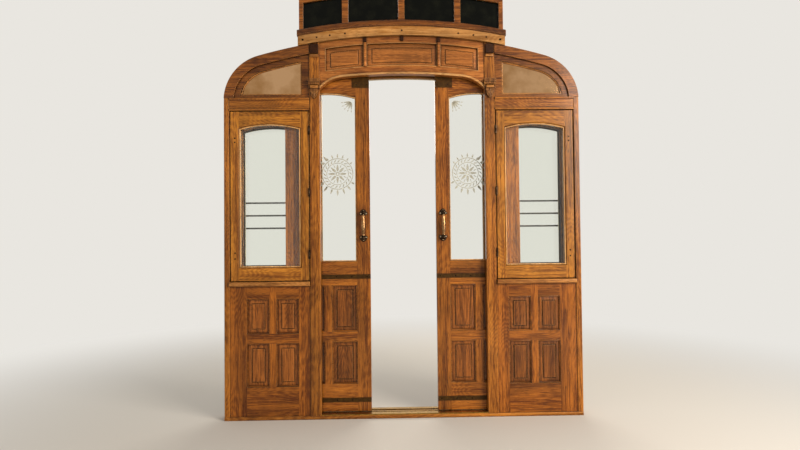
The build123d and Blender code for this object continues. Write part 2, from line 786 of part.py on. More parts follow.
# Sliding leaves
sheave_axle = sill_height + floor_rail_height + seat_gap + sheave_radius
sheave_slot_half = sheave_thickness / 2 + sheave_slot_play
sheave_places = [leaf_rest + sheave_inset, leaf_outer - sheave_inset]
handle_x = leaf_rest + leaf_stile / 2
for side in ("left", "right"):
    with BuildPart() as door_frame:
        with BuildSketch(upright(leaf_thickness / 2)):
            add(box_outline(leaf_rest, leaf_outer, leaf_bottom, leaf_top))
            add(leaf_light(0), mode=Mode.SUBTRACT)
            for x_low, x_high in leaf_columns:
                for z_low, z_high in leaf_rows:
                    add(box_outline(x_low, x_high, z_low, z_high), mode=Mode.SUBTRACT)
        extrude(amount=leaf_thickness)
        with BuildSketch(Plane.XY.offset(leaf_bottom)):
            with Locations(*[(place, 0) for place in sheave_places]):
                Rectangle(2 * (sheave_radius + sheave_slot_play), 2 * sheave_slot_half)
        extrude(amount=sheave_axle + sheave_radius + sheave_slot_play - leaf_bottom, mode=Mode.SUBTRACT)
        if side == "left":
            mirror(about=Plane.YZ, mode=Mode.REPLACE)
    door_frame.part.label = f"door_frame_{side}"
    export_step(door_frame.part, f"parts/door_frame_{side}.step")

    with BuildPart() as door_panels:
        for x_low, x_high in leaf_columns:
            for z_low, z_high in leaf_rows:
                seat = box_outline(x_low + seat_gap, x_high - seat_gap, z_low + seat_gap, z_high - seat_gap)
                field = box_outline(
                    x_low + panel_margin, x_high - panel_margin, z_low + panel_margin, z_high - panel_margin
                )
                add(raised_panel(seat, field, 0, True))
        if side == "left":
            mirror(about=Plane.YZ, mode=Mode.REPLACE)
    door_panels.part.label = f"door_panels_{side}"
    export_step(door_panels.part, f"parts/door_panels_{side}.step")

    with BuildPart() as door_glass:
        with BuildSketch(upright(glass_thickness / 2)):
            add(leaf_light(seat_gap))
        extrude(amount=glass_thickness)
        if side == "left":
            mirror(about=Plane.YZ, mode=Mode.REPLACE)
    door_glass.part.label = f"door_glass_{side}"
    export_step(door_glass.part, f"parts/door_glass_{side}.step")

    with BuildPart() as door_strips:
        for z_low in (low_strip, high_strip):
            for y_far in (-leaf_thickness / 2, leaf_thickness / 2 + strip_thickness):
                with BuildSketch(upright(y_far)):
                    add(box_outline(leaf_rest, leaf_outer, z_low, z_low + strip_height))
                extrude(amount=strip_thickness)
        if side == "left":
            mirror(about=Plane.YZ, mode=Mode.REPLACE)
    door_strips.part.label = f"door_strips_{side}"
    export_step(door_strips.part, f"parts/door_strips_{side}.step")

    with BuildPart() as door_guides:
        for y_far in (-leaf_thickness / 2, leaf_thickness / 2 + guide_plate_thickness):
            with BuildSketch(upright(y_far)):
                add(
                    box_outline(
                        leaf_rest,
                        leaf_rest + guide_plate_width,
                        guide_plate_top - guide_plate_height,
                        guide_plate_top,
                    )
                )
            extrude(amount=guide_plate_thickness)
        for place in sheave_places:
            with BuildSketch(upright(sheave_thickness / 2)):
                with Locations((place, sheave_axle)):
                    Circle(sheave_radius)
            extrude(amount=sheave_thickness)
        if side == "left":
            mirror(about=Plane.YZ, mode=Mode.REPLACE)
    door_guides.part.label = f"door_guides_{side}"
    export_step(door_guides.part, f"parts/door_guides_{side}.step")

    with BuildPart() as door_handles:
        for way in (-1, 1):
            grip_y = way * (leaf_thickness / 2 + handle_standoff)
            with BuildSketch(upright(way * leaf_thickness / 2)):
                for height, outward in zip(handle_heights, (-1, 1)):
                    lobes = [(handle_x + step, height) for step in (-handle_lobe_spread, handle_lobe_spread)]
                    lobes.append((handle_x, height + outward * handle_lobe_reach))
                    with Locations(*lobes):
                        RegularPolygon(handle_lobe_radius, small_turned_sides)
            extrude(amount=-way * handle_plate_thickness)
            with BuildSketch(upright(way * leaf_thickness / 2)):
                with Locations(*[(handle_x, height) for height in handle_heights]):
                    RegularPolygon(boss_radius, small_turned_sides)
            extrude(amount=-way * (handle_standoff + boss_radius))
            for half_length in (-handle_length / 2, handle_length / 2):
                with BuildSketch(Plane.XY.offset(handle_mid_height)):
                    with Locations((handle_x, grip_y)):
                        RegularPolygon(grip_middle_radius, small_turned_sides)
                extrude(amount=half_length, taper=grip_taper)
        if side == "left":
            mirror(about=Plane.YZ, mode=Mode.REPLACE)
    door_handles.part.label = f"door_handles_{side}"
    export_step(door_handles.part, f"parts/door_handles_{side}.step")

# Platform side: one framed wall to each side, its window, and guard rails across the window
guard_y = back_face + guard_rail_standoff
for side in ("left", "right"):
    with BuildPart() as platform_wall:
        with BuildSketch(upright(back_face)):
            add(box_outline(doorway_half, corner_inner, sill_height, transom_top))
            add(quadrant(doorway_half, transom_top, 0))
            add(side_light(0), mode=Mode.SUBTRACT)
        extrude(amount=back_thickness)
        with BuildSketch(upright(pocket_face)):
            add(quadrant(carline_half, transom_top, 0))
            add(quadrant(carline_half, transom_top, roof_cap_thickness), mode=Mode.SUBTRACT)
        extrude(amount=2 * pocket_face)
        with BuildSketch(upright(back_face)):
            for z_low, z_high in dado_rows:
                add(box_outline(glass_inner, glass_outer, z_low, z_high))
            add(quadrant(light_inner, light_low, light_inset))
        extrude(amount=wall_recess_depth, mode=Mode.SUBTRACT)
        if side == "left":
            mirror(about=Plane.YZ, mode=Mode.REPLACE)
    platform_wall.part.label = f"platform_wall_{side}"
    export_step(platform_wall.part, f"parts/platform_wall_{side}.step")

    with BuildPart() as platform_glass:
        with BuildSketch(upright((pocket_face + back_face + glass_thickness) / 2)):
            add(side_light(seat_gap))
        extrude(amount=glass_thickness)
        if side == "left":
            mirror(about=Plane.YZ, mode=Mode.REPLACE)
    platform_glass.part.label = f"platform_glass_{side}"
    export_step(platform_glass.part, f"parts/platform_glass_{side}.step")

    with BuildPart() as guard_rails:
        rail_start = glass_inner - guard_foot_from_glass
        rail_end = glass_outer + guard_foot_from_glass
        for height in guard_rail_heights:
            with BuildSketch(Plane.YZ.offset(rail_start)):
                with Locations((guard_y, height)):
                    RegularPolygon(guard_rail_radius, small_turned_sides)
            extrude(amount=rail_end - rail_start)
            with BuildSketch(upright(guard_y + guard_foot_width / 2)):
                with Locations((rail_start, height), (rail_end, height)):
                    Rectangle(guard_foot_width, guard_foot_width)
            extrude(amount=guard_rail_standoff + guard_foot_width / 2)
        if side == "left":
            mirror(about=Plane.YZ, mode=Mode.REPLACE)
    guard_rails.part.label = f"guard_rails_{side}"
    export_step(guard_rails.part, f"parts/guard_rails_{side}.step")

with BuildPart() as platform_header:
    with BuildSketch(upright(back_face)):
        add(under_roof(seat_gap - doorway_half, doorway_half - seat_gap, drop_foot))
        add(doorway_arch(doorway_half, drop_foot - drop_height, 0), mode=Mode.SUBTRACT)
    extrude(amount=back_thickness)
    with BuildSketch(upright(back_face)):
        add(
            roof_band(
                wall_panel_margin - doorway_half,
                doorway_half - wall_panel_margin,
                -fascia_panel_foot,
                -fascia_top_rail,
            )
        )
    extrude(amount=wall_recess_depth, mode=Mode.SUBTRACT)
platform_header.part.label = "platform_header"
export_step(platform_header.part, "parts/platform_header.step")
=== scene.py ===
# %% [markdown]
# # End partition of a tram saloon
# The real thing is a joiner's piece: varnished oak posts, rails and panels, two glazed leaves that
# slide behind hinged sashes, and an arched fascia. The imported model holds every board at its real
# size, so this lesson dresses it: finishes for wood, metal and glass, and the small pieces that a
# plain model leaves out.

import math
from functools import partial

import bmesh
import bpy
from mathutils import Matrix, Vector


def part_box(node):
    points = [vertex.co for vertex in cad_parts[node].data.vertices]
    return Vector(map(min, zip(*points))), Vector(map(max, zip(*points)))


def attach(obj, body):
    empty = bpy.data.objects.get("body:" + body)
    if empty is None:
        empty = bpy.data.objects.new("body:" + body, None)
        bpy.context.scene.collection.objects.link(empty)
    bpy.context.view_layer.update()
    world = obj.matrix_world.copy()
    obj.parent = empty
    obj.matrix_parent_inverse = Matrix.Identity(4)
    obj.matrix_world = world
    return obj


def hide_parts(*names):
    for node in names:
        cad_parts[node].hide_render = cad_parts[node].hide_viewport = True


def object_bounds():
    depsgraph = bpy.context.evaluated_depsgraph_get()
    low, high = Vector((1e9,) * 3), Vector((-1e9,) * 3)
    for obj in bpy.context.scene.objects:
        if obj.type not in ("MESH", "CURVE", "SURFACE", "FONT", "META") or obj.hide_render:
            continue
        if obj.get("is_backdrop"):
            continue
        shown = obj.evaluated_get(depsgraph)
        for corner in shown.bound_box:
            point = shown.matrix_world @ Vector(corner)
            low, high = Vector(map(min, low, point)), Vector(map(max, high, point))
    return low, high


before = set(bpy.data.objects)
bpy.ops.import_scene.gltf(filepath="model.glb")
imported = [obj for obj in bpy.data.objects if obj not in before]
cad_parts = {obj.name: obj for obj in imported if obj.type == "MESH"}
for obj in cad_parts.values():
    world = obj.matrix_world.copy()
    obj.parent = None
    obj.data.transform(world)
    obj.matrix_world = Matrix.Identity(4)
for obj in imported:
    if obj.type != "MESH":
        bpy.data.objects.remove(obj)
cad_low, cad_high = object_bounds()

# %% [markdown]
# Blender works in metres, and a joiner in millimetres. One named factor turns one into the other,
# so that sizes read as on a drawing. Most pieces are made in a loop over the partition's two sides.

# %% Units and sides
MM = 0.001
SIDES = {"left": -1, "right": 1}


def mm(*sizes):
    """Millimetres as metres."""
    return Vector([size * MM for size in sizes])


def tails(node):
    """What follows a name for each copy of a node: nothing, or its side."""
    return [""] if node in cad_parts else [f"_{side}" for side in SIDES]


def body_of(body, tail):
    """The partition is one body, and a leaf or a sash is one on each side."""
    return body if body == "partition" else body + tail


print("box in mm:", cad_low / MM, cad_high / MM)

# %% [markdown]
# The camera stands about 3.3 metres in front of the partition, a little left of its middle and at
# the height of a seated eye. Its lens is a moderate wide angle. It looks a touch to the right and
# up, with a slight roll.

# %% Camera
LENS = 25.2
CAMERA_PLACE = mm(-93, -3266, 1024)
CAMERA_YAW = math.radians(-1.3)
CAMERA_PITCH = math.radians(1.3)
CAMERA_ROLL = math.radians(-0.56)


def placed(name, data):
    """New object in the scene."""
    thing = bpy.data.objects.new(name, data)
    bpy.context.scene.collection.objects.link(thing)
    return thing


camera_data = bpy.data.cameras.new("camera")
camera_data.lens = LENS
camera = placed("camera", camera_data)
level = Matrix.Rotation(math.radians(90) + CAMERA_PITCH, 4, "X")
turn = Matrix.Rotation(CAMERA_YAW, 4, "Z")
roll = Matrix.Rotation(CAMERA_ROLL, 4, "Z")
camera.matrix_world = Matrix.Translation(CAMERA_PLACE) @ turn @ level @ roll
bpy.context.scene.camera = camera
print("lens in mm:", LENS, "sensor:", camera_data.sensor_width)

# %% [markdown]
# Every finish is a small tree of nodes. One helper adds a node with its settings and links, and one
# function turns the hex colours of a paint card into the linear light that a renderer works in.

# %% Colours and nodes


def colour(code):
    """Linear colour of an sRGB hex code, by the standard's own curve."""
    values = [int(code[place : place + 2], 16) / 255 for place in (1, 3, 5)]
    return [v / 12.92 if v <= 0.04045 else ((v + 0.055) / 1.055) ** 2.4 for v in values] + [1]


def add_node(tree, kind, *values, **settings):
    """Adds a node. Values go to its first inputs, or to named ones from a dictionary at the end."""
    made = tree.nodes.new("ShaderNode" + kind)
    for name, setting in settings.items():
        setattr(made, name, setting)
    named = values[-1] if values and isinstance(values[-1], dict) else {}
    plain = values[:-1] if named else values
    for place, value in [*enumerate(plain), *named.items()]:
        if isinstance(value, bpy.types.Node):
            value = value.outputs[0]
        if isinstance(value, bpy.types.NodeSocket):
            tree.links.new(value, made.inputs[place])
        elif value is not None:
            made.inputs[place].default_value = value
    return made


def new_material(name):
    """Empty material, what adds nodes to it, and the place of a point in the object's own space."""
    material = bpy.data.materials.new(name)
    material.use_nodes = True
    material.node_tree.nodes.clear()
    add = partial(add_node, material.node_tree)
    return material, add, add("TexCoord").outputs["Object"]


print("a middle grey is", round(colour("#808080")[0], 3))

# %% [markdown]
# A plain studio: a pale floor that fades into a pale backdrop, one large soft lamp from the front
# right, a weaker one from the left, one behind, and an even world. Large lamps give soft shadows
# in which the mouldings still read. The backdrop is bright only for the eye: the camera and the
# glass see it, and it doesn't light the wood.

# %% Floor and backdrop
FLOOR_COLOUR = "#DAD6CF"
BACKDROP_COLOUR = "#E9E6E0"
BACKDROP_STRENGTH = 1.0
FLOOR_HALF = 9.0
FADE_RANGE = (1.4, 4.2)


def seen_by_eye(add):
    """One for rays that show a surface, and nothing for rays that only carry light."""
    rays = add("LightPath").outputs
    return add("Math", rays["Is Camera Ray"], rays["Is Transmission Ray"], operation="MAXIMUM")


floor_paint, add, place = new_material("stage paint, matt")
paint = add("BsdfDiffuse", colour(FLOOR_COLOUR))
glow = add("Emission", colour(BACKDROP_COLOUR), BACKDROP_STRENGTH)
distance = add("VectorMath", place, operation="LENGTH").outputs["Value"]
far = add("MapRange", distance, *FADE_RANGE, interpolation_type="SMOOTHSTEP")
shown = add("Math", far, seen_by_eye(add), operation="MULTIPLY")
add("OutputMaterial", add("MixShader", shown, paint, glow))

floor_shape = bmesh.new()
bmesh.ops.create_grid(floor_shape, x_segments=1, y_segments=1, size=FLOOR_HALF)
floor_data = bpy.data.meshes.new("floor")
floor_shape.to_mesh(floor_data)
floor_shape.free()
floor_data.materials.append(floor_paint)
floor = placed("floor", floor_data)
floor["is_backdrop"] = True
print("floor is", 2 * FLOOR_HALF, "m wide")

# %% World
WORLD_COLOUR = "#FFFDF8"
WORLD_STRENGTH = 0.44

world = bpy.data.worlds.new("studio")
world.use_nodes = True
world.node_tree.nodes.clear()
add = partial(add_node, world.node_tree)
sky = add("Background", colour(WORLD_COLOUR), WORLD_STRENGTH)
backdrop = add("Background", colour(BACKDROP_COLOUR), BACKDROP_STRENGTH)
add("OutputWorld", add("MixShader", seen_by_eye(add), sky, backdrop))
bpy.context.scene.world = world
bpy.context.scene.view_settings.view_transform = "Standard"
print("world:", world.name, WORLD_STRENGTH)

# %% Lamps
# Columns: name, place, aimed at, width, height, watts, colour
LAMPS = [
    ("key", (3.1, -3.0, 2.2), (0.3, 0.0, 1.2), 2.4, 2.4, 195, "#FFF3E4"),
    ("fill", (-3.2, -3.6, 1.8), (-0.2, 0.0, 1.1), 2.4, 2.4, 12, "#FFE6C4"),
    ("back", (0.6, 3.4, 3.0), (0.0, 0.0, 1.4), 2.6, 2.0, 70, "#FFF6EA"),
]
for name, place, target, width, height, watts, tint in LAMPS:
    lamp_data = bpy.data.lights.new(name, "AREA")
    lamp_data.shape = "RECTANGLE"
    lamp_data.size = width
    lamp_data.size_y = height
    lamp_data.energy = watts
    lamp_data.color = colour(tint)[:3]
    lamp = placed(name, lamp_data)
    aim = (Vector(target) - Vector(place)).to_track_quat("-Z", "Y")
    lamp.matrix_world = Matrix.Translation(place) @ aim.to_matrix().to_4x4()
    lamp.visible_transmission = False
print("lamps:", len(LAMPS))

# %% [markdown]
# The boards are sawn oak under many coats of amber varnish. That gives the eye a warm brown with
# soft darker streaks along the grain, short pale flecks where the rays are cut, cloudy patches where
# the varnish has aged, corners darkened by dirt and by painted shade, and paler edges that are worn
# and painted as highlight. The streaks, flecks and patches are noise stretched along the board.
# Growth rings are nested tubes. A board cuts them at a slant, which draws the long pointed arches
# of flat sawn oak. So the distance to the heart of the tree is worked out at each point, with the
# heart wandering nearer and further along the board, and the sine of that distance is the rings.
# Real pores are a third of a millimetre wide and would vanish here, so they are drawn ten times as
# coarse. Grain follows a board's length, so the pattern has to know which boards stand upright: it
# tells them by their distance from the middle and their height.

# %% Layers of the grain
# Width and length of a mark in millimetres, then detail, roughness, and where the pattern starts
GRAIN_LAYERS = {
    "boards": (85, 1600, 0.0, 0.5, 5),
    "bands": (24, 700, 2.0, 0.55, 0),
    "streaks": (4, 170, 4.0, 0.65, 3),
    "flecks": (5, 26, 2.0, 0.5, 7),
    "pores": (3.2, 34, 1.0, 0.5, 23),
    "patches": (160, 160, 3.0, 0.6, 11),
    "heart": (260, 620, 1.0, 0.4, 17),
}
BOARD_WIDTH = 70 * MM
RING_SPACING = 13 * MM
RING_WANDER = 40 * MM
RING_STRENGTH = 0.09
STREAK_SHARE = 1.6
# Each range maps the first two values of a pattern to the last two, or to 0 and 1
NOISE_RANGE = (0.3, 0.7)
HEART_RANGE = (*NOISE_RANGE, -20 * MM, 190 * MM)
TONE_RANGE = (1.1, 1.5)
FLECK_RANGE = (0.56, 0.72, 0.0, 0.35)
PORE_RANGE = (0.36, 0.28, 0.0, 0.6)
CLOUD_RANGE = (0.7, 1.3, 0.66, 1.28)


def grain_direction(add, place, along, stiles):
    """Vector whose Z runs along the grain. Upright boards are (near, far, foot, head), in metres."""
    x, y, z = add("SeparateXYZ", place).outputs
    if along == "up":
        return place
    along_board = add("CombineXYZ", z, y, x)
    distance = add("Math", x, operation="ABSOLUTE")
    for near, far, foot, head in stiles:
        within = add("Math", distance, (near + far) / 2, (far - near) / 2, operation="COMPARE")
        beside = add("Math", z, (foot + head) / 2, (head - foot) / 2, operation="COMPARE")
        inside = add("Math", within, beside, operation="MULTIPLY")
        along_board = add("MixRGB", inside, along_board, place)
    return along_board


print("layers of the grain:", *GRAIN_LAYERS)

# %% Worn edges with painted highlight, corners with dirt and painted shade
EDGE_ROUND = 2.2 * MM
DIRT_AND_SHADE_REACH = 13 * MM
BEND_RANGE = (0.8, 0.99, 1.0, 0.0)
OUTWARD_RANGE = (0.84, 0.96)
SETTLED_DIRT_AND_SHADE_RANGE = (0.3, 0.9, 1.0, 0.0)


def worn_lit_and_shaded_edges(add):
    """Soft normal, edges worn and painted as highlight, and corners dirty and painted as shade, from 0 to
    1.
    """
    soft_edge = add("Bevel", {"Radius": EDGE_ROUND}, samples=4)
    true_face = add("NewGeometry").outputs["Normal"]
    flatness = add("VectorMath", soft_edge, true_face, operation="DOT_PRODUCT").outputs["Value"]
    bend = add("MapRange", flatness, *BEND_RANGE)
    # Ambient occlusion and the bend of concave edges darken corners and creases: dirt and painted shade.
    open_air = add("AmbientOcclusion", {"Distance": DIRT_AND_SHADE_REACH}, samples=6).outputs["AO"]
    outward = add("MapRange", open_air, *OUTWARD_RANGE)
    rubbed = add("Math", bend, outward, operation="MULTIPLY")
    crease_dirt_and_shade = add("Math", bend, rubbed, operation="SUBTRACT")
    settled_dirt_and_shade = add("MapRange", open_air, *SETTLED_DIRT_AND_SHADE_RANGE)
    return soft_edge, rubbed, add("Math", settled_dirt_and_shade, crease_dirt_and_shade, operation="MAXIMUM")


print("rubbed edge:", EDGE_ROUND / MM, "mm")

# %% Colour and relief of the grain
DIRT_AND_SHADE_COLOUR = "#1A0B03"


def oak_grain(add, place, pale, deep):
    """Colour of sawn oak whose grain runs along Z, then its relief and its streaks."""
    marks = {}
    for layer, (width, length, detail, roughness, start) in GRAIN_LAYERS.items():
        scale = [1 / (size * MM) for size in (width, width, length)]
        drawn = add("Mapping", {"Vector": place, "Scale": scale, "Location": (start, start, start)})
        settings = {"Vector": drawn, "Scale": 1.0, "Detail": detail, "Roughness": roughness}
        marks[layer] = add("TexNoise", settings)
    across = add("SeparateXYZ", place).outputs[0]
    aside = add("Math", across, BOARD_WIDTH, operation="PINGPONG")
    deep_in = add("MapRange", marks["heart"], *HEART_RANGE)
    heart = add("CombineXYZ", aside, deep_in)
    to_heart = add("VectorMath", heart, operation="LENGTH").outputs["Value"]
    waved = add("Math", marks["bands"], RING_WANDER, to_heart, operation="MULTIPLY_ADD")
    turns = add("Math", waved, math.tau / RING_SPACING, operation="MULTIPLY")
    rings = add("Math", turns, operation="SINE")
    fine = add("Math", marks["streaks"], STREAK_SHARE, marks["bands"], operation="MULTIPLY_ADD")
    lines = add("Math", rings, RING_STRENGTH, fine, operation="MULTIPLY_ADD")
    tone = add("MapRange", lines, *TONE_RANGE)
    wood = add("MixRGB", tone, colour(deep), colour(pale))
    fleck = add("MapRange", marks["flecks"], *FLECK_RANGE)
    flecked = add("MixRGB", fleck, wood, colour(pale), blend_type="SCREEN")
    pore = add("MapRange", marks["pores"], *PORE_RANGE)
    pitted = add("MixRGB", pore, flecked, colour(DIRT_AND_SHADE_COLOUR))
    cloud = add("Math", marks["patches"], marks["boards"], operation="ADD")
    shade = add("MapRange", cloud, *CLOUD_RANGE)
    return add("MixRGB", 1.0, pitted, shade, blend_type="MULTIPLY"), lines, marks["streaks"]


print("one board shows", BOARD_WIDTH / RING_SPACING, "rings")

# %% Oak under varnish
# Worn edges are mixed towards a pale colour, which is also painted highlight.
WORN_EDGE_HIGHLIGHT_COLOUR = "#E4AE6C"
WORN_EDGE_HIGHLIGHT_RANGE = (0, 1, 0, 0.7)
DIRT_AND_SHADE_RANGE = (0, 1, 0, 0.9)
GLOSS_STEPS = (-0.07, 0.09)
GRAIN_DEPTH = 0.5 * MM
STAIN_IOR = 1.3
VARNISH_IOR = 1.5


def oak(name, pale, deep, along="level", stiles=(), gloss=0.34, coat=0.25):
    """Varnished oak, sawn, brushed with varnish and worn, with painted highlight and painted shade."""
    material, add, place = new_material(name)
    wood, lines, streaks = oak_grain(add, grain_direction(add, place, along, stiles), pale, deep)
    soft_edge, rubbed, dirt_and_shade = worn_lit_and_shaded_edges(add)
    # Edges turn pale, as wear and painted highlight, and corners and creases dark, as dirt and painted
    # shade.
    for share, limits, tint in ((rubbed, WORN_EDGE_HIGHLIGHT_RANGE, WORN_EDGE_HIGHLIGHT_COLOUR), (dirt_and_shade, DIRT_AND_SHADE_RANGE, DIRT_AND_SHADE_COLOUR)):
        wood = add("MixRGB", add("MapRange", share, *limits), wood, colour(tint))
    rough = add("MapRange", streaks, *NOISE_RANGE, *[gloss + step for step in GLOSS_STEPS])
    relief = {"Height": lines, "Normal": soft_edge, "Distance": GRAIN_DEPTH, "Strength": 0.5}
    settings = {
        "Base Color": wood,
        "Roughness": rough,
        "IOR": STAIN_IOR,
        "Normal": add("Bump", relief),
        "Coat Weight": coat,
        "Coat Roughness": 0.12,
        "Coat IOR": VARNISH_IOR,
    }
    add("OutputMaterial", add("BsdfPrincipled", settings))
    return material


def clad(material, *names):
    """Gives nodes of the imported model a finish. A name without its side means both sides."""
    for name in names:
        for tail in tails(name):
            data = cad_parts[name + tail].data
            data.materials.clear()
            data.materials.append(material)


def finish_of(node):
    """Finish that a node has been given."""
    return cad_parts[node].data.materials[0]


print("IOR of varnish:", VARNISH_IOR)

# %% Upright boards of the frames
# Foot and head of each row of panels in millimetres
PANEL_ROWS = ((186, 430), (486, 753))


def uprights_of(outer, inner, muntin=()):
    """Where an outer node shows beside an inner one, and a muntin that stands between its panels."""
    outer_low, outer_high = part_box(outer)
    inner_low, inner_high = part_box(inner)
    bands = [(outer_low.x, inner_low.x), (inner_high.x, outer_high.x)]
    found = [(*band, outer_low.z, outer_high.z) for band in bands]
    return found + [mm(*muntin, *row) for row in PANEL_ROWS if muntin]


leaf_stiles = uprights_of("door_frame_right", "door_glass_right", muntin=(415, 457))
sash_stiles = uprights_of("sash_frame_right", "sash_glass_right")
dado_stiles = uprights_of("dado_frame_right", "dado_panels_right", muntin=(727, 767))
print("uprights of a leaf:", len(leaf_stiles))

# %% [markdown]
# Each group of boards has its own tone. The posts and rails are golden brown, and the leaves and
# the dado are darker and redder. The quadrant lights, their ribs and the clerestory are darker still,
# as painted shade, and the cap is the darkest board. The sills are paler, as wear and as painted
# highlight on their tops, the fascia is paler too, and the carline has lost most of its colour to light.

# %% Oak for each group of boards
# Columns: what it is, pale tone, deep tone, nodes, then the grain and the bands of upright boards
# where it isn't all level
OAK_GROUPS = [
    ("upright posts", "#AE6B22", "#6C3808", ["corner_post", "door_post"], "up"),
    ("transoms", "#AE6B22", "#6C3808", ["transom_rail"]),
    # The sills are paler, as wear and as painted highlight on their lit tops.
    ("window sills", "#BE8040", "#7E4A18", ["window_sill"]),
    # The ribs and the quadrant lights' frames are darkened as painted shade.
    ("ribs", "#92561E", "#552B0B", ["quadrant_rib"]),
    ("quadrant lights", "#87501B", "#4A2407", ["fanlight_frame"]),
    ("cap", "#703F12", "#432106", ["carline_cap"]),
    ("floor sill", "#B4722A", "#733E0E", ["floor_sill"]),
    # The clerestory frame is darkened as painted shade.
    ("clerestory", "#985A22", "#5A2E0C", ["clerestory_frame"]),
    ("leaves", "#A6631F", "#66330A", ["door_frame"], "level", leaf_stiles),
    ("sashes", "#B67524", "#74410F", ["sash_frame"], "level", sash_stiles),
    ("dado", "#9F5C1A", "#5E2E08", ["dado_frame"], "level", dado_stiles),
    ("raised panels", "#965720", "#582E0C", ["dado_panels", "door_panels"], "up"),
    ("fascia", "#C47A36", "#84491C", ["fascia_frame"]),
    ("fascia panels", "#B46E30", "#88501F", ["fascia_panels"]),
    ("corbels", "#9A652E", "#5E3512", ["corbels"], "up"),
]
for what, pale, deep, names, *grain in OAK_GROUPS:
    clad(oak(f"varnished oak, {what}", pale, deep, *grain), *names)
clad(oak("worn pale oak, carline", "#C79052", "#9A6428", gloss=0.42, coat=0.1), "carline")
print("oak finishes:", len(OAK_GROUPS) + 1)

# %% [markdown]
# The panes are old drawn glass: clear, with a touch of green and a faint waviness that bends what
# is behind them. Light has to reach the wood through them, so for shadows they count as clear.

# %% Glass
GLASS_TINT = "#F9FBF7"
GLASS_IOR = 1.5
WAVE_SIZE = 90 * MM
WAVE_DEPTH = 0.4 * MM

clear_glass, add, place = new_material("window glass, drawn")
waves = add("TexNoise", {"Vector": place, "Scale": 1 / WAVE_SIZE, "Detail": 1.0})
settings = {
    "Base Color": colour(GLASS_TINT),
    "Roughness": 0.01,
    "IOR": GLASS_IOR,
    "Transmission Weight": 1.0,
    "Normal": add("Bump", {"Height": waves, "Distance": WAVE_DEPTH, "Strength": 0.2}),
}
pane = add("BsdfPrincipled", settings)
for_shadows = add("BsdfTransparent", colour(GLASS_TINT))
shadow_ray = add("LightPath").outputs["Is Shadow Ray"]
add("OutputMaterial", add("MixShader", shadow_ray, pane, for_shadows))
print("glass:", clear_glass.name)

# %% [markdown]
# Metals, mirrors and japanning share one recipe: a base colour, patches of a second colour where
# the surface has tarnished or rubbed, and a gloss and a slight unevenness that follow the patches.
# Their size, in millimetres, tells a rubbed grip from a mirror that is mottled with age. The panes
# of the clerestory are a deep green black, painted shade for the dark behind them.

# %% Metals and mirrors
# Columns: what it is, base, patches, size of a patch, roughness, metallic, IOR, unevenness
COATED = {
    # The mirror's orange tint is aged silver and a painted reflection of the warm saloon.
    "mirror": ("silvered mirror, aged", "#FFC992", "#D2995E", 220, 0.05, 1.0, 1.5, 0.02),
    "brass": ("brass strip, rolled and trodden", "#B08A45", "#7A5A2A", 22, 0.3, 1.0, 1.5, 0.1),
    "bronze": ("bronze casting, oxidised", "#2C2219", "#564534", 12, 0.22, 1.0, 1.5, 0.1),
    "grip": ("brass grip, turned and rubbed bright", "#B48C60", "#74502F", 60, 0.24, 1.0, 1.5, 0.04),
    # The screws' pale brass is rubbed metal and painted highlight, so each head reads as a bright dot.
    "screw": ("brass screw, rubbed bright", "#EBDCBC", "#B9A27A", 30, 0.3, 1.0, 1.5, 0.05),
    "japanned": ("steel plate, japanned olive", "#3A2406", "#4E340C", 18, 0.45, 0.0, 1.25, 0.15),
    "iron": ("wrought iron, oiled", "#2A1406", "#40220C", 9, 0.5, 0.0, 1.25, 0.3),
    # The clerestory panes are near black as painted shade.
    "dark_glass": ("glass, near black as painted shade", "#060703", "#12130A", 60, 0.2, 0.0, 1.25, 0.05),
}
PATCH_RANGE = (0.45, 0.68)
ROUGH_SHARES = (0.8, 1.25)
PATCH_DEPTH = 0.3 * MM

metals = {}
for key, (what, base, patch, size, rough, metallic, ior, uneven) in COATED.items():
    material, add, place = new_material(what)
    settings = {"Vector": place, "Scale": 1 / (size * MM), "Detail": 5.0, "Roughness": 0.6}
    patches = add("TexNoise", settings)
    covered = add("MapRange", patches, *PATCH_RANGE)
    roughness = [rough * share for share in ROUGH_SHARES]
    settings = {
        "Base Color": add("MixRGB", covered, colour(base), colour(patch)),
        "Roughness": add("MapRange", patches, *NOISE_RANGE, *roughness),
        "Metallic": metallic,
        "IOR": ior,
        "Normal": add("Bump", {"Height": patches, "Distance": PATCH_DEPTH, "Strength": uneven}),
    }
    add("OutputMaterial", add("BsdfPrincipled", settings))
    metals[key] = material

clad(clear_glass, "sash_glass", "platform_glass")
clad(metals["dark_glass"], "clerestory_panes")
clad(metals["mirror"], "fanlight_mirror")
clad(metals["brass"], "threshold")
clad(metals["bronze"], "post_hinges", "sash_hinges")
clad(metals["japanned"], "door_strips", "door_guides")
clad(metals["iron"], "carline_brackets")
print("coated finishes:", len(metals))

# %% [markdown]
# The platform side of the walls is painted, cream above the window sill and brown below it. Old
# paint is never even: it yellows, its corners are darkened by dirt and by painted shade, brush marks
# show in raking light, and hands rub the edges down to the wood. The paint stops at the glass line.
# The jambs inside it face the saloon, and are varnished oak, upright below the transoms and level
# above them.

# %% Painted platform side
CREAM = "#CDBE93"
BROWN = "#5B3418"
BARE_WOOD = "#8A5E34"
PAINT_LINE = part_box("window_sill_right")[1].z
CLOUD_SIZE = 200 * MM
CLOUD_TINTS = (0.3, 0.75, 0.84, 1.06)
CHIP_SIZE = 14 * MM
CHIP_RANGE = (0.5, 0.6, 0.1, 0.9)

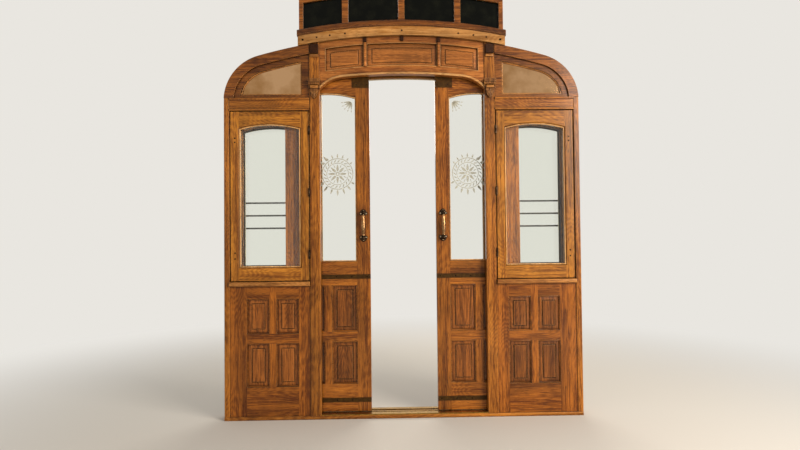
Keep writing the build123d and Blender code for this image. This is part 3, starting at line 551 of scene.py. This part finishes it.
two_paints, add, place = new_material("oil paint, cream over brown, brushed")
depth, height = add("SeparateXYZ", place).outputs[1:]
above = add("Math", height, PAINT_LINE, operation="GREATER_THAN")
paint = add("MixRGB", above, colour(BROWN), colour(CREAM))
clouds = add("TexNoise", {"Vector": place, "Scale": 1 / CLOUD_SIZE, "Detail": 5.0})
tint = add("MapRange", clouds, *CLOUD_TINTS)
yellowed = add("MixRGB", 1.0, paint, tint, blend_type="MULTIPLY")
soft_edge, rubbed, dirt_and_shade = worn_lit_and_shaded_edges(add)
chips = add("TexNoise", {"Vector": place, "Scale": 1 / CHIP_SIZE, "Detail": 3.0})
chip_share = add("MapRange", chips, *CHIP_RANGE)
chipped = add("Math", rubbed, chip_share, operation="MULTIPLY")
bared = add("MixRGB", chipped, yellowed, colour(BARE_WOOD))
print("paint line at", round(PAINT_LINE / MM), "mm")

# %% Jambs, and the surface of the paint
JAMB_TONES = ("#9A6626", "#5A3510")
JAMB_BOARDS = [(0, 2 * cad_high.x, cad_low.z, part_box("transom_rail_right")[1].z)]
GLASS_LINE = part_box("platform_glass_right")[1].y
GRIME_AND_SHADE = "#3A2A16"
GRIME_AND_SHADE_RANGE = (0, 1, 0, 0.7)
BRUSH_MARK = 3 * MM
BRUSH_DEPTH = 0.2 * MM

outside = add("Math", depth, GLASS_LINE, operation="GREATER_THAN")
jamb_grain = grain_direction(add, place, "level", JAMB_BOARDS)
jambs = oak_grain(add, jamb_grain, *JAMB_TONES)[0]
coated = add("MixRGB", outside, jambs, bared)
brushed = add("TexNoise", {"Vector": place, "Scale": 1 / BRUSH_MARK, "Detail": 2.0})
relief = {"Height": brushed, "Normal": soft_edge, "Distance": BRUSH_DEPTH, "Strength": 0.3}
# Corners and creases go towards the grime colour: dirt and painted shade.
grimy_and_shaded = add("MapRange", dirt_and_shade, *GRIME_AND_SHADE_RANGE)
settings = {
    "Base Color": add("MixRGB", grimy_and_shaded, coated, colour(GRIME_AND_SHADE)),
    "Roughness": 0.42,
    "Normal": add("Bump", relief),
}
add("OutputMaterial", add("BsdfPrincipled", settings))
clad(two_paints, "platform_wall", "platform_header")
print("jambs end at", round(GLASS_LINE / MM), "mm")

# %% [markdown]
# Everything that a lathe would turn is made the same way: half of its profile, a list of radius
# and height, is drawn as a few vertices beside an axis, and the spin operator carries it round. A
# quarter turn of the axis then lays it where it belongs. When a piece is whole, its doubles are
# merged, its faces are turned outwards, and edges that bend more than a set angle stay sharp.

# %% Helpers for new pieces
SHARP_ANGLE = math.radians(35)
MITRE_ANGLE = math.radians(2)
MERGE_DISTANCE = 0.01 * MM
# How squarely, from 0 to 1, a face has to look along Y to count as flat
FLAT = 0.9
ROUNDING = {"affect": "EDGES", "profile": 0.5, "material": -1}
AXES = {
    "up": Matrix.Identity(4),
    "front": Matrix.Rotation(math.radians(90), 4, "X"),
    "back": Matrix.Rotation(math.radians(-90), 4, "X"),
    "side": Matrix.Rotation(math.radians(90), 4, "Y"),
}


def newest(shape, known):
    """Vertices that a step has added to a mesh."""
    return [vert for vert in shape.verts if vert not in known]


def turned(shape, profile, place, axis="up", steps=32):
    """Spins a profile of (radius, height), in millimetres, about an axis through a place in metres."""
    known = set(shape.verts)
    line = [shape.verts.new(mm(radius, 0, height)) for radius, height in profile]
    line += [shape.edges.new(pair) for pair in zip(line, line[1:])]
    settings = {"axis": (0, 0, 1), "angle": math.tau, "steps": steps, "use_merge": True}
    bmesh.ops.spin(shape, geom=line, cent=(0, 0, 0), **settings)
    matrix = Matrix.Translation(place) @ AXES[axis]
    bmesh.ops.transform(shape, matrix=matrix, verts=newest(shape, known))


def finished(shape, name, material, body, sharp=SHARP_ANGLE):
    """Closes a mesh and makes it a piece that rides on a body."""
    bmesh.ops.remove_doubles(shape, verts=shape.verts, dist=MERGE_DISTANCE)
    bmesh.ops.recalc_face_normals(shape, faces=shape.faces)
    for face in shape.faces:
        face.smooth = True
    for edge in shape.edges:
        edge.smooth = edge.calc_face_angle(0) < sharp
    loose = sum(not edge.is_manifold for edge in shape.edges)
    data = bpy.data.meshes.new(name)
    shape.to_mesh(data)
    shape.free()
    data.materials.append(material)
    piece = placed(name, data)
    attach(piece, body)
    print(name, len(data.polygons), "faces,", loose, "open edges")
    return piece


def thickened(shape, faces, shift):
    """Gives flat faces a thickness, or raises them if they are part of a closed mesh."""
    closed = all(edge.is_manifold for face in faces for edge in face.edges)
    moved = bmesh.ops.extrude_face_region(shape, geom=faces)["geom"]
    if closed:
        bmesh.ops.delete(shape, geom=faces, context="FACES_ONLY")
    verts = [part for part in moved if isinstance(part, bmesh.types.BMVert)]
    bmesh.ops.translate(shape, vec=shift, verts=verts)
    return verts


def round_front(shape, front, offset, segments):
    """Rounds the edges of what stands further forward than a level in millimetres."""
    rims = [edge for edge in shape.edges if all(vert.co.y / MM < front for vert in edge.verts)]
    bmesh.ops.bevel(shape, geom=rims, offset=offset, segments=segments, **ROUNDING)


print("axes:", *AXES)

# %% [markdown]
# Slotted screws are everywhere on such a piece. One head is made once: a low dome whose top is cut
# by two planes, and the strip between the cuts is pushed down. Every screw is a copy of that mesh,
# turned a little further than the last, as a joiner leaves them.

# %% One screw head
SCREW_SIDES = 12
# Radii at the rim, at the shoulder and at the flat top, which alone is above the slot's level
SCREW_RADII = (3.6 * MM, 3.0 * MM, 2.1 * MM)
SCREW_RISE = 0.7 * MM
SLOT_LEVEL = 1.9 * SCREW_RISE
SLOT_HALF = 0.4 * MM
SLOT_DEPTH = 0.8 * MM
SCREW_TURN = math.radians(37)

head = bmesh.new()
bmesh.ops.create_circle(head, cap_ends=True, segments=SCREW_SIDES, radius=SCREW_RADII[0])
for start_radius, end_radius in zip(SCREW_RADII, SCREW_RADII[1:]):
    top = max(head.faces, key=lambda face: face.calc_center_median().z)
    raised = thickened(head, [top], Vector((0, 0, SCREW_RISE)))
    shrink = end_radius / start_radius
    bmesh.ops.scale(head, vec=(shrink, shrink, 1), verts=raised)
for way in (-1, 1):
    top = [face for face in head.faces if face.calc_center_median().z > SLOT_LEVEL]
    parts = top + list({part for face in top for part in (*face.edges, *face.verts)})
    bmesh.ops.bisect_plane(head, geom=parts, plane_co=(0, way * SLOT_HALF, 0), plane_no=(0, 1, 0))
middles = {face: face.calc_center_median() for face in head.faces}
slot = [face for face, at in middles.items() if at.z > SLOT_LEVEL and abs(at.y) < SLOT_HALF / 2]
thickened(head, slot, Vector((0, 0, -SLOT_DEPTH)))
bmesh.ops.recalc_face_normals(head, faces=head.faces)
screw_mesh = bpy.data.meshes.new("screw_head")
head.to_mesh(screw_mesh)
head.free()
print("faces of a screw:", len(screw_mesh.polygons))


def screws(shape, places, axis, size=1.0):
    """Copies of the screw head at places in metres."""
    for number, place in enumerate(places):
        known = set(shape.verts)
        shape.from_mesh(screw_mesh)
        spun = Matrix.Rotation(number * SCREW_TURN, 4, "Z") @ Matrix.Scale(size, 4)
        matrix = Matrix.Translation(place) @ AXES[axis] @ spun
        bmesh.ops.transform(shape, matrix=matrix, verts=newest(shape, known))


# %% [markdown]
# A pull handle is a pair of cast bosses on three-lobed plates, each fixed by three screws, with a
# turned grip between them that is thickest in the middle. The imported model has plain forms, so
# finer ones, all turned, stand in the same place.

# %% Bosses and plates
HANDLE_LOW, HANDLE_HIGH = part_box("door_handles_right")
ROSETTE_RADIUS = 21
HANDLE_X = (HANDLE_LOW.x + HANDLE_HIGH.x) / 2 / MM
BOSS_HEIGHTS = (HANDLE_LOW.z / MM + ROSETTE_RADIUS, HANDLE_HIGH.z / MM - ROSETTE_RADIUS)
LEAF_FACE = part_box("door_frame_right")[1].y / MM
GRIP_OUT = 30
# Columns: side step, step away from the grip, share of the size of the largest lobe
LOBES = [(0, 11, 1.0), (-15.5, -4.5, 0.85), (15.5, -4.5, 0.85)]
LOBE_PROFILE = [(0, 5), (6, 5), (8.4, 4), (10, 1.8), (10, 0), (0, 0)]
PLATE_OUT = 2
PLATE_PROFILE = [(0, 4), (14, 4), (17.5, 2.8), (19, 0), (0, 0)]
NECK_PROFILE = [(0, 0), (14, 0), (14, 3), (12, 6.5), (8.5, 9), (7.5, 14), (7.5, 22)]
NECK_PROFILE += [(9, 26), (9, 31), (0, 31)]
BALL_PROFILE = [(0, -12), (7, -11), (10.5, -8), (12, -3), (12, 3), (10, 8), (8.5, 10)]
BALL_PROFILE += [(8.5, 14), (0, 14)]
LOBE_SCREW_LEVEL = 4.9
LARGE_SCREW = 1.3

for side, way in SIDES.items():
    boss_shape = bmesh.new()
    screw_shape = bmesh.new()
    for face, axis in ((-1, "front"), (1, "back")):
        for height, outward in zip(BOSS_HEIGHTS, (-1, 1)):
            foot = mm(way * HANDLE_X, face * LEAF_FACE, height)
            turned(boss_shape, NECK_PROFILE, foot, axis)
            turned(boss_shape, PLATE_PROFILE, foot + mm(0, 0, outward * PLATE_OUT), axis)
            places = []
            for step, away, share in LOBES:
                place = foot + mm(step, 0, outward * away)
                lobe = [(radius * share, rise) for radius, rise in LOBE_PROFILE]
                turned(boss_shape, lobe, place, axis, steps=24)
                places.append(place + mm(0, face * LOBE_SCREW_LEVEL, 0))
            screws(screw_shape, places, axis, LARGE_SCREW)
            ball = [(radius, -outward * rise) for radius, rise in BALL_PROFILE]
            grip_end = mm(way * HANDLE_X, face * (LEAF_FACE + GRIP_OUT), height)
            turned(boss_shape, ball, grip_end, "up", steps=24)
    body = f"door_{side}"
    bosses = finished(boss_shape, f"handle_bosses_{side}", metals["bronze"], body)
    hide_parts(f"door_handles_{side}")
    finished(screw_shape, f"handle_screws_{side}", metals["screw"], body)

# %% Grips
# Share of the length, from an end to the middle, and radius in millimetres
GRIP_PROFILE = [(0, 7), (0.1, 7), (0.11, 9), (0.14, 9), (0.15, 8)]
GRIP_PROFILE += [(0.26, 10.2), (0.38, 11.6), (0.5, 12)]

grip_low, grip_high = BOSS_HEIGHTS
grip_length = grip_high - grip_low
lower_half = [(radius, share * grip_length) for share, radius in GRIP_PROFILE]
upper_half = [(radius, grip_length - height) for radius, height in reversed(lower_half[:-1])]
whole_grip = [(0, 0)] + lower_half + upper_half + [(0, grip_length)]
for side, way in SIDES.items():
    grip_shape = bmesh.new()
    for face in (-1, 1):
        foot = mm(way * HANDLE_X, face * (LEAF_FACE + GRIP_OUT), grip_low)
        turned(grip_shape, whole_grip, foot, "up", steps=28)
    finished(grip_shape, f"handle_grips_{side}", metals["grip"], f"door_{side}")

# %% [markdown]
# Guard rails cross each window on the platform side, three to a window. Each is a drawn rod with a
# ball at either end, held off the wall by two turned feet.

# %% Guard rails
RAIL_LOW, RAIL_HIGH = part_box("guard_rails_right")
KNOB_RADIUS = 8
RAIL_RADIUS = 5
RAIL_OUT = RAIL_HIGH.y / MM - KNOB_RADIUS
WALL_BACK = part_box("platform_wall_right")[1].y / MM
RAIL_COUNT = 3
RAIL_PITCH = 75
RAIL_HEIGHTS = [RAIL_LOW.z / MM + KNOB_RADIUS + number * RAIL_PITCH for number in range(RAIL_COUNT)]
RAIL_ENDS = (RAIL_LOW.x / MM + KNOB_RADIUS, RAIL_HIGH.x / MM - KNOB_RADIUS)
RAIL_LENGTH = RAIL_ENDS[1] - RAIL_ENDS[0]
ROD_PROFILE = [(0, 0), (RAIL_RADIUS, 0), (RAIL_RADIUS, RAIL_LENGTH), (0, RAIL_LENGTH)]
FOOT_PROFILE = [(0, 0), (8, 0), (8, 2), (5.5, 4), (3.8, 7), (3.8, 12), (0, 12)]
KNOB_PROFILE = [(0, -8), (4, -7.4), (6.8, -4.4), (8, 0), (6.8, 4.4), (4, 7.4), (0, 8)]

for side, way in SIDES.items():
    rail_shape = bmesh.new()
    start = min(way * end for end in RAIL_ENDS)
    for height in RAIL_HEIGHTS:
        turned(rail_shape, ROD_PROFILE, mm(start, RAIL_OUT, height), "side", steps=16)
        for end in RAIL_ENDS:
            turned(rail_shape, FOOT_PROFILE, mm(way * end, WALL_BACK, height), "back", steps=20)
            turned(rail_shape, KNOB_PROFILE, mm(way * end, RAIL_OUT, height), "side", steps=20)
    rails = finished(rail_shape, f"window_rails_{side}", metals["bronze"], "partition")
    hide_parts(f"guard_rails_{side}")

# %% [markdown]
# Bevelled plate glass fills the leaves. The pane starts as an outline whose segmental head is one
# vertex carried along an arc by the spin operator. The outline is extruded, and then both faces
# are inset and pushed out, so that a sloping border runs round the pane.

# %% Bevelled panes in the leaves
PANE_BEVEL_WIDTH = 20 * MM
PANE_EDGE_HALF = 1.2 * MM
PANE_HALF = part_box("door_glass_right")[1].y
HEAD_RISE = 27 * MM
HEAD_STEPS = 16

for side in SIDES:
    low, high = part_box(f"door_glass_{side}")
    half = (high.x - low.x) / 2
    radius = (half**2 + HEAD_RISE**2) / (2 * HEAD_RISE)
    pane_shape = bmesh.new()
    spring = pane_shape.verts.new((high.x, PANE_EDGE_HALF, high.z - HEAD_RISE))
    middle = Vector(((low.x + high.x) / 2, PANE_EDGE_HALF, high.z - radius))
    sweep = 2 * math.asin(half / radius)
    settings = {"axis": (0, -1, 0), "angle": sweep, "steps": HEAD_STEPS}
    bmesh.ops.spin(pane_shape, geom=[spring], cent=middle, **settings)
    head_end = min(pane_shape.verts, key=lambda vert: vert.co.x)
    feet = [pane_shape.verts.new((x, PANE_EDGE_HALF, low.z)) for x in (low.x, high.x)]
    for pair in ((head_end, feet[0]), (feet[0], feet[1]), (feet[1], spring)):
        pane_shape.edges.new(pair)
    outline = bmesh.ops.contextual_create(pane_shape, geom=pane_shape.edges[:])["faces"]
    thickened(pane_shape, outline, Vector((0, -2 * PANE_EDGE_HALF, 0)))
    bmesh.ops.recalc_face_normals(pane_shape, faces=pane_shape.faces)
    flats = [face for face in pane_shape.faces if abs(face.normal.y) > FLAT]
    settings = {"thickness": PANE_BEVEL_WIDTH, "depth": PANE_HALF - PANE_EDGE_HALF}
    bmesh.ops.inset_individual(pane_shape, faces=flats, **settings)
    name = f"bevelled_pane_{side}"
    pane = finished(pane_shape, name, clear_glass, f"door_{side}", MITRE_ANGLE)
    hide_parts(f"door_glass_{side}")

# %% [markdown]
# An etched ornament stands on each bevelled pane: a wreath of small leaves round an eight-petalled
# flower, fans of leaves round it, and a small fan in the top corner. Acid leaves the glass frosted,
# so the ornament scatters light. Here it is a thin skin on the pane, and each leaf of it is a
# circle drawn out and pinched towards its tip.

# %% Etched glass
ETCH_GRAIN = 4 * MM
ETCH_COVER = (0.35, 0.65, 0.6, 0.95)
FROST_COLOUR = "#C4C1B4"
FROST_GLOW = "#CFCDC2"

etched_glass, add, place = new_material("plate glass, acid-etched")
grain = add("TexNoise", {"Vector": place, "Scale": 1 / ETCH_GRAIN, "Detail": 4.0})
frosted = add("BsdfDiffuse", colour(FROST_COLOUR))
glowing = add("BsdfTranslucent", colour(FROST_GLOW))
clear = add("BsdfTransparent", colour("#FFFFFF"))
scattered = add("MixShader", 0.5, frosted, glowing)
cover = add("MapRange", grain, *ETCH_COVER)
add("OutputMaterial", add("MixShader", cover, clear, scattered))
print("finish:", etched_glass.name)

# %% Motifs of the ornament
PETAL_POINTS = 14
# Share of a petal's width at its middle, and how much of it is lost towards the tip
PETAL_MIDDLE = 0.75
PETAL_TAPER = 0.7


def petal(shape, foot, turn, length, width):
    """Leaf from a foot in metres, turned from straight up; its length and width in millimetres."""
    known = set(shape.verts)
    bmesh.ops.create_circle(shape, cap_ends=True, segments=PETAL_POINTS, radius=0.5)
    made = newest(shape, known)
    for vert in made:
        vert.co.x *= width * MM * (PETAL_MIDDLE - vert.co.y * PETAL_TAPER)
        vert.co.y = (vert.co.y + 0.5) * length * MM
    matrix = Matrix.Translation(foot) @ Matrix.Rotation(turn, 4, "Y") @ AXES["front"]
    bmesh.ops.transform(shape, matrix=matrix, verts=made)


print("a petal has", PETAL_POINTS, "points")

# %% Ornament on each pane
ETCH_THICKNESS = 0.3
ORNAMENT_X = 380
ORNAMENT_Z = 1399
CORNER_X = 26
CORNER_DROP = 48
# Inner and outer radius of each ring
RINGS = [(61, 65), (86.5, 91.5), (6, 12)]
# Columns: how many petals, turn of the middle one and from one to the next, in degrees from straight
# up, how far each leans from its turn, reach, length, loss of length with each step, width
HEART_PETALS = [
    (22, 0, 360 / 22, math.degrees(0.9), 69, 22, 0, 8),
    (8, 0, 45, 0, 15, 40, 0, 17),
    (8, 22.5, 45, 0, 38, 20, 0, 6),
    (7, 180, math.degrees(0.34), 0, 94, 34, 4, 13),
    (7, 90, math.degrees(0.3), 0, 96, 62, 9, 15),
    (7, 0, math.degrees(0.3), 0, 94, 24, 3, 11),
]
CORNER_PETALS = [(5, 137, 21, 0, 4, 44, 0, 13), (5, 137, 21, 0, 50, 13, 0, 7)]

for side, way in SIDES.items():
    etch_shape = bmesh.new()
    low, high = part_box(f"door_glass_{side}")
    heart = mm(way * ORNAMENT_X, -PANE_HALF / MM, ORNAMENT_Z)
    lead_x = low.x if way > 0 else high.x
    corner = Vector((lead_x, heart.y, high.z)) + mm(way * CORNER_X, 0, -CORNER_DROP)
    for inner, outer in RINGS:
        turned(etch_shape, [(inner, 0), (outer, 0)], heart, "front", steps=64)
    rows = [(heart, *row) for row in HEART_PETALS] + [(corner, *row) for row in CORNER_PETALS]
    for centre, count, middle, pitch, lean, reach, length, loss, width in rows:
        for number in range(-(count // 2), (count + 1) // 2):
            turn = way * math.radians(middle + number * pitch)
            foot = centre + mm(math.sin(turn) * reach, 0, math.cos(turn) * reach)
            size = length - loss * abs(number)
            petal(etch_shape, foot, turn + math.radians(lean), size, width)
    thickened(etch_shape, etch_shape.faces[:], mm(0, -ETCH_THICKNESS, 0))
    finished(etch_shape, f"etched_ornament_{side}", etched_glass, f"door_{side}")

# %% [markdown]
# Screws hold the dark strips and guide plates on the leaves, and the carline over the fascia. Two
# pairs stand in each sash's outer stile. Each group is one mesh, made by a loop.

# %% Screws
STRIP_LOW, STRIP_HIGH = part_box("door_strips_right")
STRIP_FACE = STRIP_HIGH.y / MM
STRIP_MARGIN = 12
STRIP_HEIGHTS = (STRIP_LOW.z / MM + STRIP_MARGIN, STRIP_HIGH.z / MM - STRIP_MARGIN)
STRIP_SCREW_X = [212, 300, 388, 476, 564, 652]
GUIDE_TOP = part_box("door_guides_right")[1].z / MM
GUIDE_PLACES = [(204, 12), (204, 62), (266, 12), (266, 62)]
SASH_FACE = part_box("sash_frame_right")[0].y / MM
SASH_SCREWS = [(958, 1600), (958, 1577), (958, 945), (958, 912)]
CARLINE_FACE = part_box("carline")[0].y / MM
ROOF_RADIUS = 3000
ROOF_CROWN = 2188
CARLINE_MIDDLE = 26
CARLINE_SCREW_X = [-487, -412, -325, 0, 325, 412, 487]

for side, way in SIDES.items():
    leaf_screws = bmesh.new()
    for face, axis in ((-1, "front"), (1, "back")):
        spots = [(x, height) for x in STRIP_SCREW_X for height in STRIP_HEIGHTS]
        spots += [(x, GUIDE_TOP - drop) for x, drop in GUIDE_PLACES]
        screws(leaf_screws, [mm(way * x, face * STRIP_FACE, height) for x, height in spots], axis)
    finished(leaf_screws, f"leaf_screws_{side}", metals["bronze"], f"door_{side}")
    sash_screws = bmesh.new()
    places = [mm(way * x, SASH_FACE, height) for x, height in SASH_SCREWS]
    screws(sash_screws, places, "front", LARGE_SCREW)
    finished(sash_screws, f"sash_screws_{side}", metals["bronze"], f"sash_{side}")

carline_screws = bmesh.new()
arc = ROOF_RADIUS + CARLINE_MIDDLE
heights = [ROOF_CROWN - ROOF_RADIUS + math.sqrt(arc**2 - x**2) for x in CARLINE_SCREW_X]
places = [mm(x, CARLINE_FACE, height) for x, height in zip(CARLINE_SCREW_X, heights)]
screws(carline_screws, places, "front", size=1.5)
finished(carline_screws, "carline_screws", metals["iron"], "partition")
print("carline face at", round(CARLINE_FACE), "mm")

# %% [markdown]
# Each post has a rounded ledge under its iron bracket, and a second one above the heart-shaped drop
# of its corbel. Each muntin between the fascia's panels carries a half-round bead. These start as
# cubes. The drop's carving, two lobes and a long leaf, is petals with their edges rounded, as a
# gouge leaves them.

# %% Carving on the corbels
POST_LOW, POST_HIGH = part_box("door_post_right")
POST_MIDDLE = (POST_LOW.x + POST_HIGH.x) / 2 / MM
POST_FRONT = POST_LOW.y / MM
DROP_FACE = -79
CARVING_RISE = 2.6
CARVING_BEVEL = 1.1 * MM
# Columns: side step and height of the foot, turn in degrees, length, width
CARVED_PETALS = [
    (-3, 1851, -52, 24, 15),
    (3, 1851, 52, 24, 15),
    (0, 1868, 180, 37, 15),
    (0, 1866, 0, 13, 8),
]

carving_shape = bmesh.new()
for way in SIDES.values():
    for step, height, turn, length, width in CARVED_PETALS:
        foot = mm(way * POST_MIDDLE + step, DROP_FACE, height)
        petal(carving_shape, foot, math.radians(turn), length, width)
thickened(carving_shape, carving_shape.faces[:], mm(0, -CARVING_RISE, 0))
round_front(carving_shape, DROP_FACE - CARVING_RISE / 2, CARVING_BEVEL, segments=3)
finished(carving_shape, "corbel_carving", finish_of("corbels"), "partition")

# %% Ledges, and beads on the muntins
FASCIA_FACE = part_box("fascia_frame")[0].y / MM
CORBEL_FACE = -70
# Columns: piece, node whose finish it takes, face that it stands on, distance from the middle, top,
# width, rise, height, radius of its edges
TRIM = [
    # Both ledges take the sills' paler oak, a painted highlight on their tops.
    ("post_ledges", "window_sill_right", POST_FRONT, POST_MIDDLE, 2083, 46, 8, 18, 5),
    ("drop_ledges", "window_sill_right", CORBEL_FACE, POST_MIDDLE, 1897, 44, 20, 15, 6),
    ("muntin_beads", "fascia_frame", FASCIA_FACE, 212, 2149, 15, 6, 139, 5),
]
for name, node, face, middle, top, width, rise, height, edge in TRIM:
    trim_shape = bmesh.new()
    for way in SIDES.values():
        known = set(trim_shape.verts)
        bmesh.ops.create_cube(trim_shape, size=1)
        made = newest(trim_shape, known)
        centre = mm(way * middle, face - rise / 2, top - height / 2)
        bmesh.ops.scale(trim_shape, vec=mm(width, rise, height), verts=made)
        bmesh.ops.translate(trim_shape, vec=centre, verts=made)
    round_front(trim_shape, face - rise / 2, edge * MM, segments=4)
    finished(trim_shape, name, finish_of(node), "partition")
print("ledges and beads:", len(TRIM) * len(SIDES))

# %% [markdown]
# A small moulding runs inside every opening, and holds its pane or its panel. On the saloon side
# the glazing beads are the palest lines: hands and cloths rub them, and their pale oak is also
# painted highlight, where light would catch them. The fascia's arch bead and the edges of its
# openings are nearly as pale, worn and painted as highlight too. The outline comes from the pane
# or panel itself: the edges round it at one depth are filled and inset, and what is left of the
# filling is taken out. The flat frame is then raised, and its edges are rounded.

# %% Mouldings round panes and panels
DEPTH_TOLERANCE = 0.1
ROUND_SHARE = 0.42
ROUND_DEPTH = 0.95
SHORTEST_EDGE = 1.0 * MM
PANE_EDGE = PANE_EDGE_HALF / MM
# The pale oaks of the beads and the fascia's edges are wear and painted highlight.
bead_highlight_oak = oak("worn pale oak with painted highlight, glazing beads", "#E2B074", "#B57F45", "up")
arch_bead_highlight_oak = oak("worn pale oak with painted highlight, bead of the arch", "#DCA668", "#A8713A")
leaf_oak = finish_of("door_frame_right")
dado_oak = finish_of("dado_frame_right")
mirror_oak = finish_of("window_sill_right")
fascia_edge_highlight_oak = oak("worn oak, edges of the openings in the fascia", "#C98F52", "#98622C")
# Columns: piece, body, material, slot, then for each run: node, fold of its edges (outward 1,
# inward -1), depth of the outline, depth to stand at, width (below 0 outside the outline, and 0
# over all of it), rise
MOULDINGS = [
    ("sash_beads", "sash", bead_highlight_oak, "oak_light", [
        ("sash_glass", 1, -52.5, -52.5, 6.5, -11),
        ("sash_glass", 1, -47.5, -47.5, 6.5, 11),
    ]),
    ("leaf_beads", "door", bead_highlight_oak, "oak_light", [
        ("door_glass", 1, -2.5, -PANE_EDGE, 6.5, -13),
        ("door_glass", 1, 2.5, PANE_EDGE, 6.5, 13),
    ]),
    ("leaf_panel_beads", "door", leaf_oak, "oak", [
        ("door_panels", 1, -6, -6, 5.5, -9),
        ("door_panels", 1, 6, 6, 5.5, 9),
    ]),
    ("dado_beads", "partition", dado_oak, "oak", [("dado_panels", 1, -49, -49, 5.5, -8)]),
    ("mirror_beads", "partition", mirror_oak, "oak", [("fanlight_mirror", 1, -48, -48, 7, -7)]),
    ("platform_beads", "partition", two_paints, "cream_paint", [
        ("platform_glass", 1, 44.5, 44.5, 8, 11.5),
        ("platform_wall", -1, 52, 52, 8, 4.5),
    ]),
    ("arch_bead", "partition", arch_bead_highlight_oak, "oak_light", [("fascia_frame", 1, -66, -66, 0, -3)]),
    ("fascia_edges", "partition", fascia_edge_highlight_oak, "oak", [("fascia_panels", 1, -49, -60, -4.5, -1)]),
    ("header_beads", "partition", two_paints, "cream_paint", [("platform_header", -1, 52, 52, 8, 4.5)]),
]


def outlines(node, fold, depth):
    """New mesh whose faces fill the outlines that a node has at a depth."""
    run = bmesh.new()
    run.from_mesh(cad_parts[node].data)
    bmesh.ops.remove_doubles(run, verts=run.verts, dist=MERGE_DISTANCE)
    bends = {edge: fold * edge.calc_face_angle_signed(0) for edge in run.edges}
    level = {vert for vert in run.verts if abs(vert.co.y / MM - depth) < DEPTH_TOLERANCE}
    others = [edge for edge in run.edges if bends[edge] <= SHARP_ANGLE or not level.issuperset(edge.verts)]
    bmesh.ops.delete(run, geom=run.faces[:], context="FACES_ONLY")
    bmesh.ops.delete(run, geom=others, context="EDGES")
    bmesh.ops.dissolve_degenerate(run, edges=run.edges[:], dist=SHORTEST_EDGE)
    bmesh.ops.edgeloop_fill(run, edges=run.edges[:])
    return run


def moulding(shape, node, fold, depth, stand, width, rise):
    """Adds a rounded frame along each outline that a node has at a depth."""
    run = outlines(node, fold, depth)
    filled = run.faces[:]
    rounding = ROUND_DEPTH * abs(rise)
    if width:
        bmesh.ops.inset_individual(run, faces=filled, use_even_offset=True, thickness=width * MM)
        bmesh.ops.delete(run, geom=filled, context="FACES")
        rounding = min(rounding, ROUND_SHARE * abs(width))
    bmesh.ops.translate(run, vec=mm(0, stand - depth, 0), verts=run.verts)
    raised = set(thickened(run, run.faces[:], mm(0, rise, 0)))
    bmesh.ops.recalc_face_normals(run, faces=run.faces)
    rims = [edge for edge in run.edges if raised.issuperset(edge.verts)]
    rims = [edge for edge in rims if edge.calc_face_angle(0) > SHARP_ANGLE]
    bmesh.ops.bevel(run, geom=rims, offset=rounding * MM, segments=3, **ROUNDING)
    data = bpy.data.meshes.new("moulding")
    run.to_mesh(data)
    run.free()
    shape.from_mesh(data)
    bpy.data.meshes.remove(data)


for name, body, material, slot_name, runs in MOULDINGS:
    for tail in tails(runs[0][0]):
        moulded = bmesh.new()
        for node, *sizes in runs:
            moulding(moulded, node + tail, *sizes)
        finished(moulded, name + tail, material, body_of(body, tail))

# %% [markdown]
# The panels are raised and fielded: a broad margin slopes up from the groove in the frame, and a
# quirk, which is a narrow groove, runs round the flat field. The fascia's margin is narrower at the
# foot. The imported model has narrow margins, so finer panels stand for it. Each starts as the filled
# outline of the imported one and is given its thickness. Then insets, one after another, draw the
# margin, the quirk, the step and the rounded edge of the field. Mitres stay sharp.

# %% Raised and fielded panels
# Columns: how far in, how far up
MARGIN = (23.5, 2.5)
FIELDING = [(1.5, -2.4), (3.4, 0), (0.8, 4.4), (1.6, 1.2)]
# Columns: node, body, depth of the front, depth of the back, the way that each fielded face looks,
# how much narrower the margin is at the foot
PANELS = [
    ("door_panels", "door", -6, 6, (-1, 1), 0),
    ("dado_panels", "partition", -49, -37, (-1,), 0),
    ("fascia_panels", "partition", -49, -37, (-1,), 10),
]


def stepped(shape, faces, inward, upward):
    """Insets faces and raises what is left of them; both sizes in millimetres."""
    sizes = {"thickness": inward * MM, "depth": upward * MM}
    bmesh.ops.inset_individual(shape, faces=faces, use_even_offset=True, **sizes)


def lowered(face, drop):
    """Moves the foot of a face down, and leaves its head where it is."""
    middle = face.calc_center_bounds().z
    for vert in face.verts:
        if vert.co.z < middle:
            vert.co.z -= drop * MM


for node, body, front, back, ways, drop in PANELS:
    for tail in tails(node):
        panel_shape = outlines(node + tail, 1, front)
        thickened(panel_shape, panel_shape.faces[:], mm(0, back - front, 0))
        bmesh.ops.recalc_face_normals(panel_shape, faces=panel_shape.faces)
        flats = [face for face in panel_shape.faces if any(face.normal.y * way > FLAT for way in ways)]
        stepped(panel_shape, flats, *MARGIN)
        for face in flats:
            lowered(face, drop)
        for step in FIELDING:
            stepped(panel_shape, flats, *step)
        name = node.replace("panels", "fielding") + tail
        panel_oak = finish_of(node + tail)
        rides_on = body_of(body, tail)
        fielding = finished(panel_shape, name, panel_oak, rides_on, MITRE_ANGLE)
        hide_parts(node + tail)

# %% [markdown]
# Last, the sizes of the dressed model are printed in millimetres, to set beside the box of the
# imported one that was printed at the start. Nothing made here may make the partition bigger.

# %% Sizes of the dressed model
low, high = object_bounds()
print("sizes in mm:", [round((b - a) / MM) for a, b in zip(low, high)])
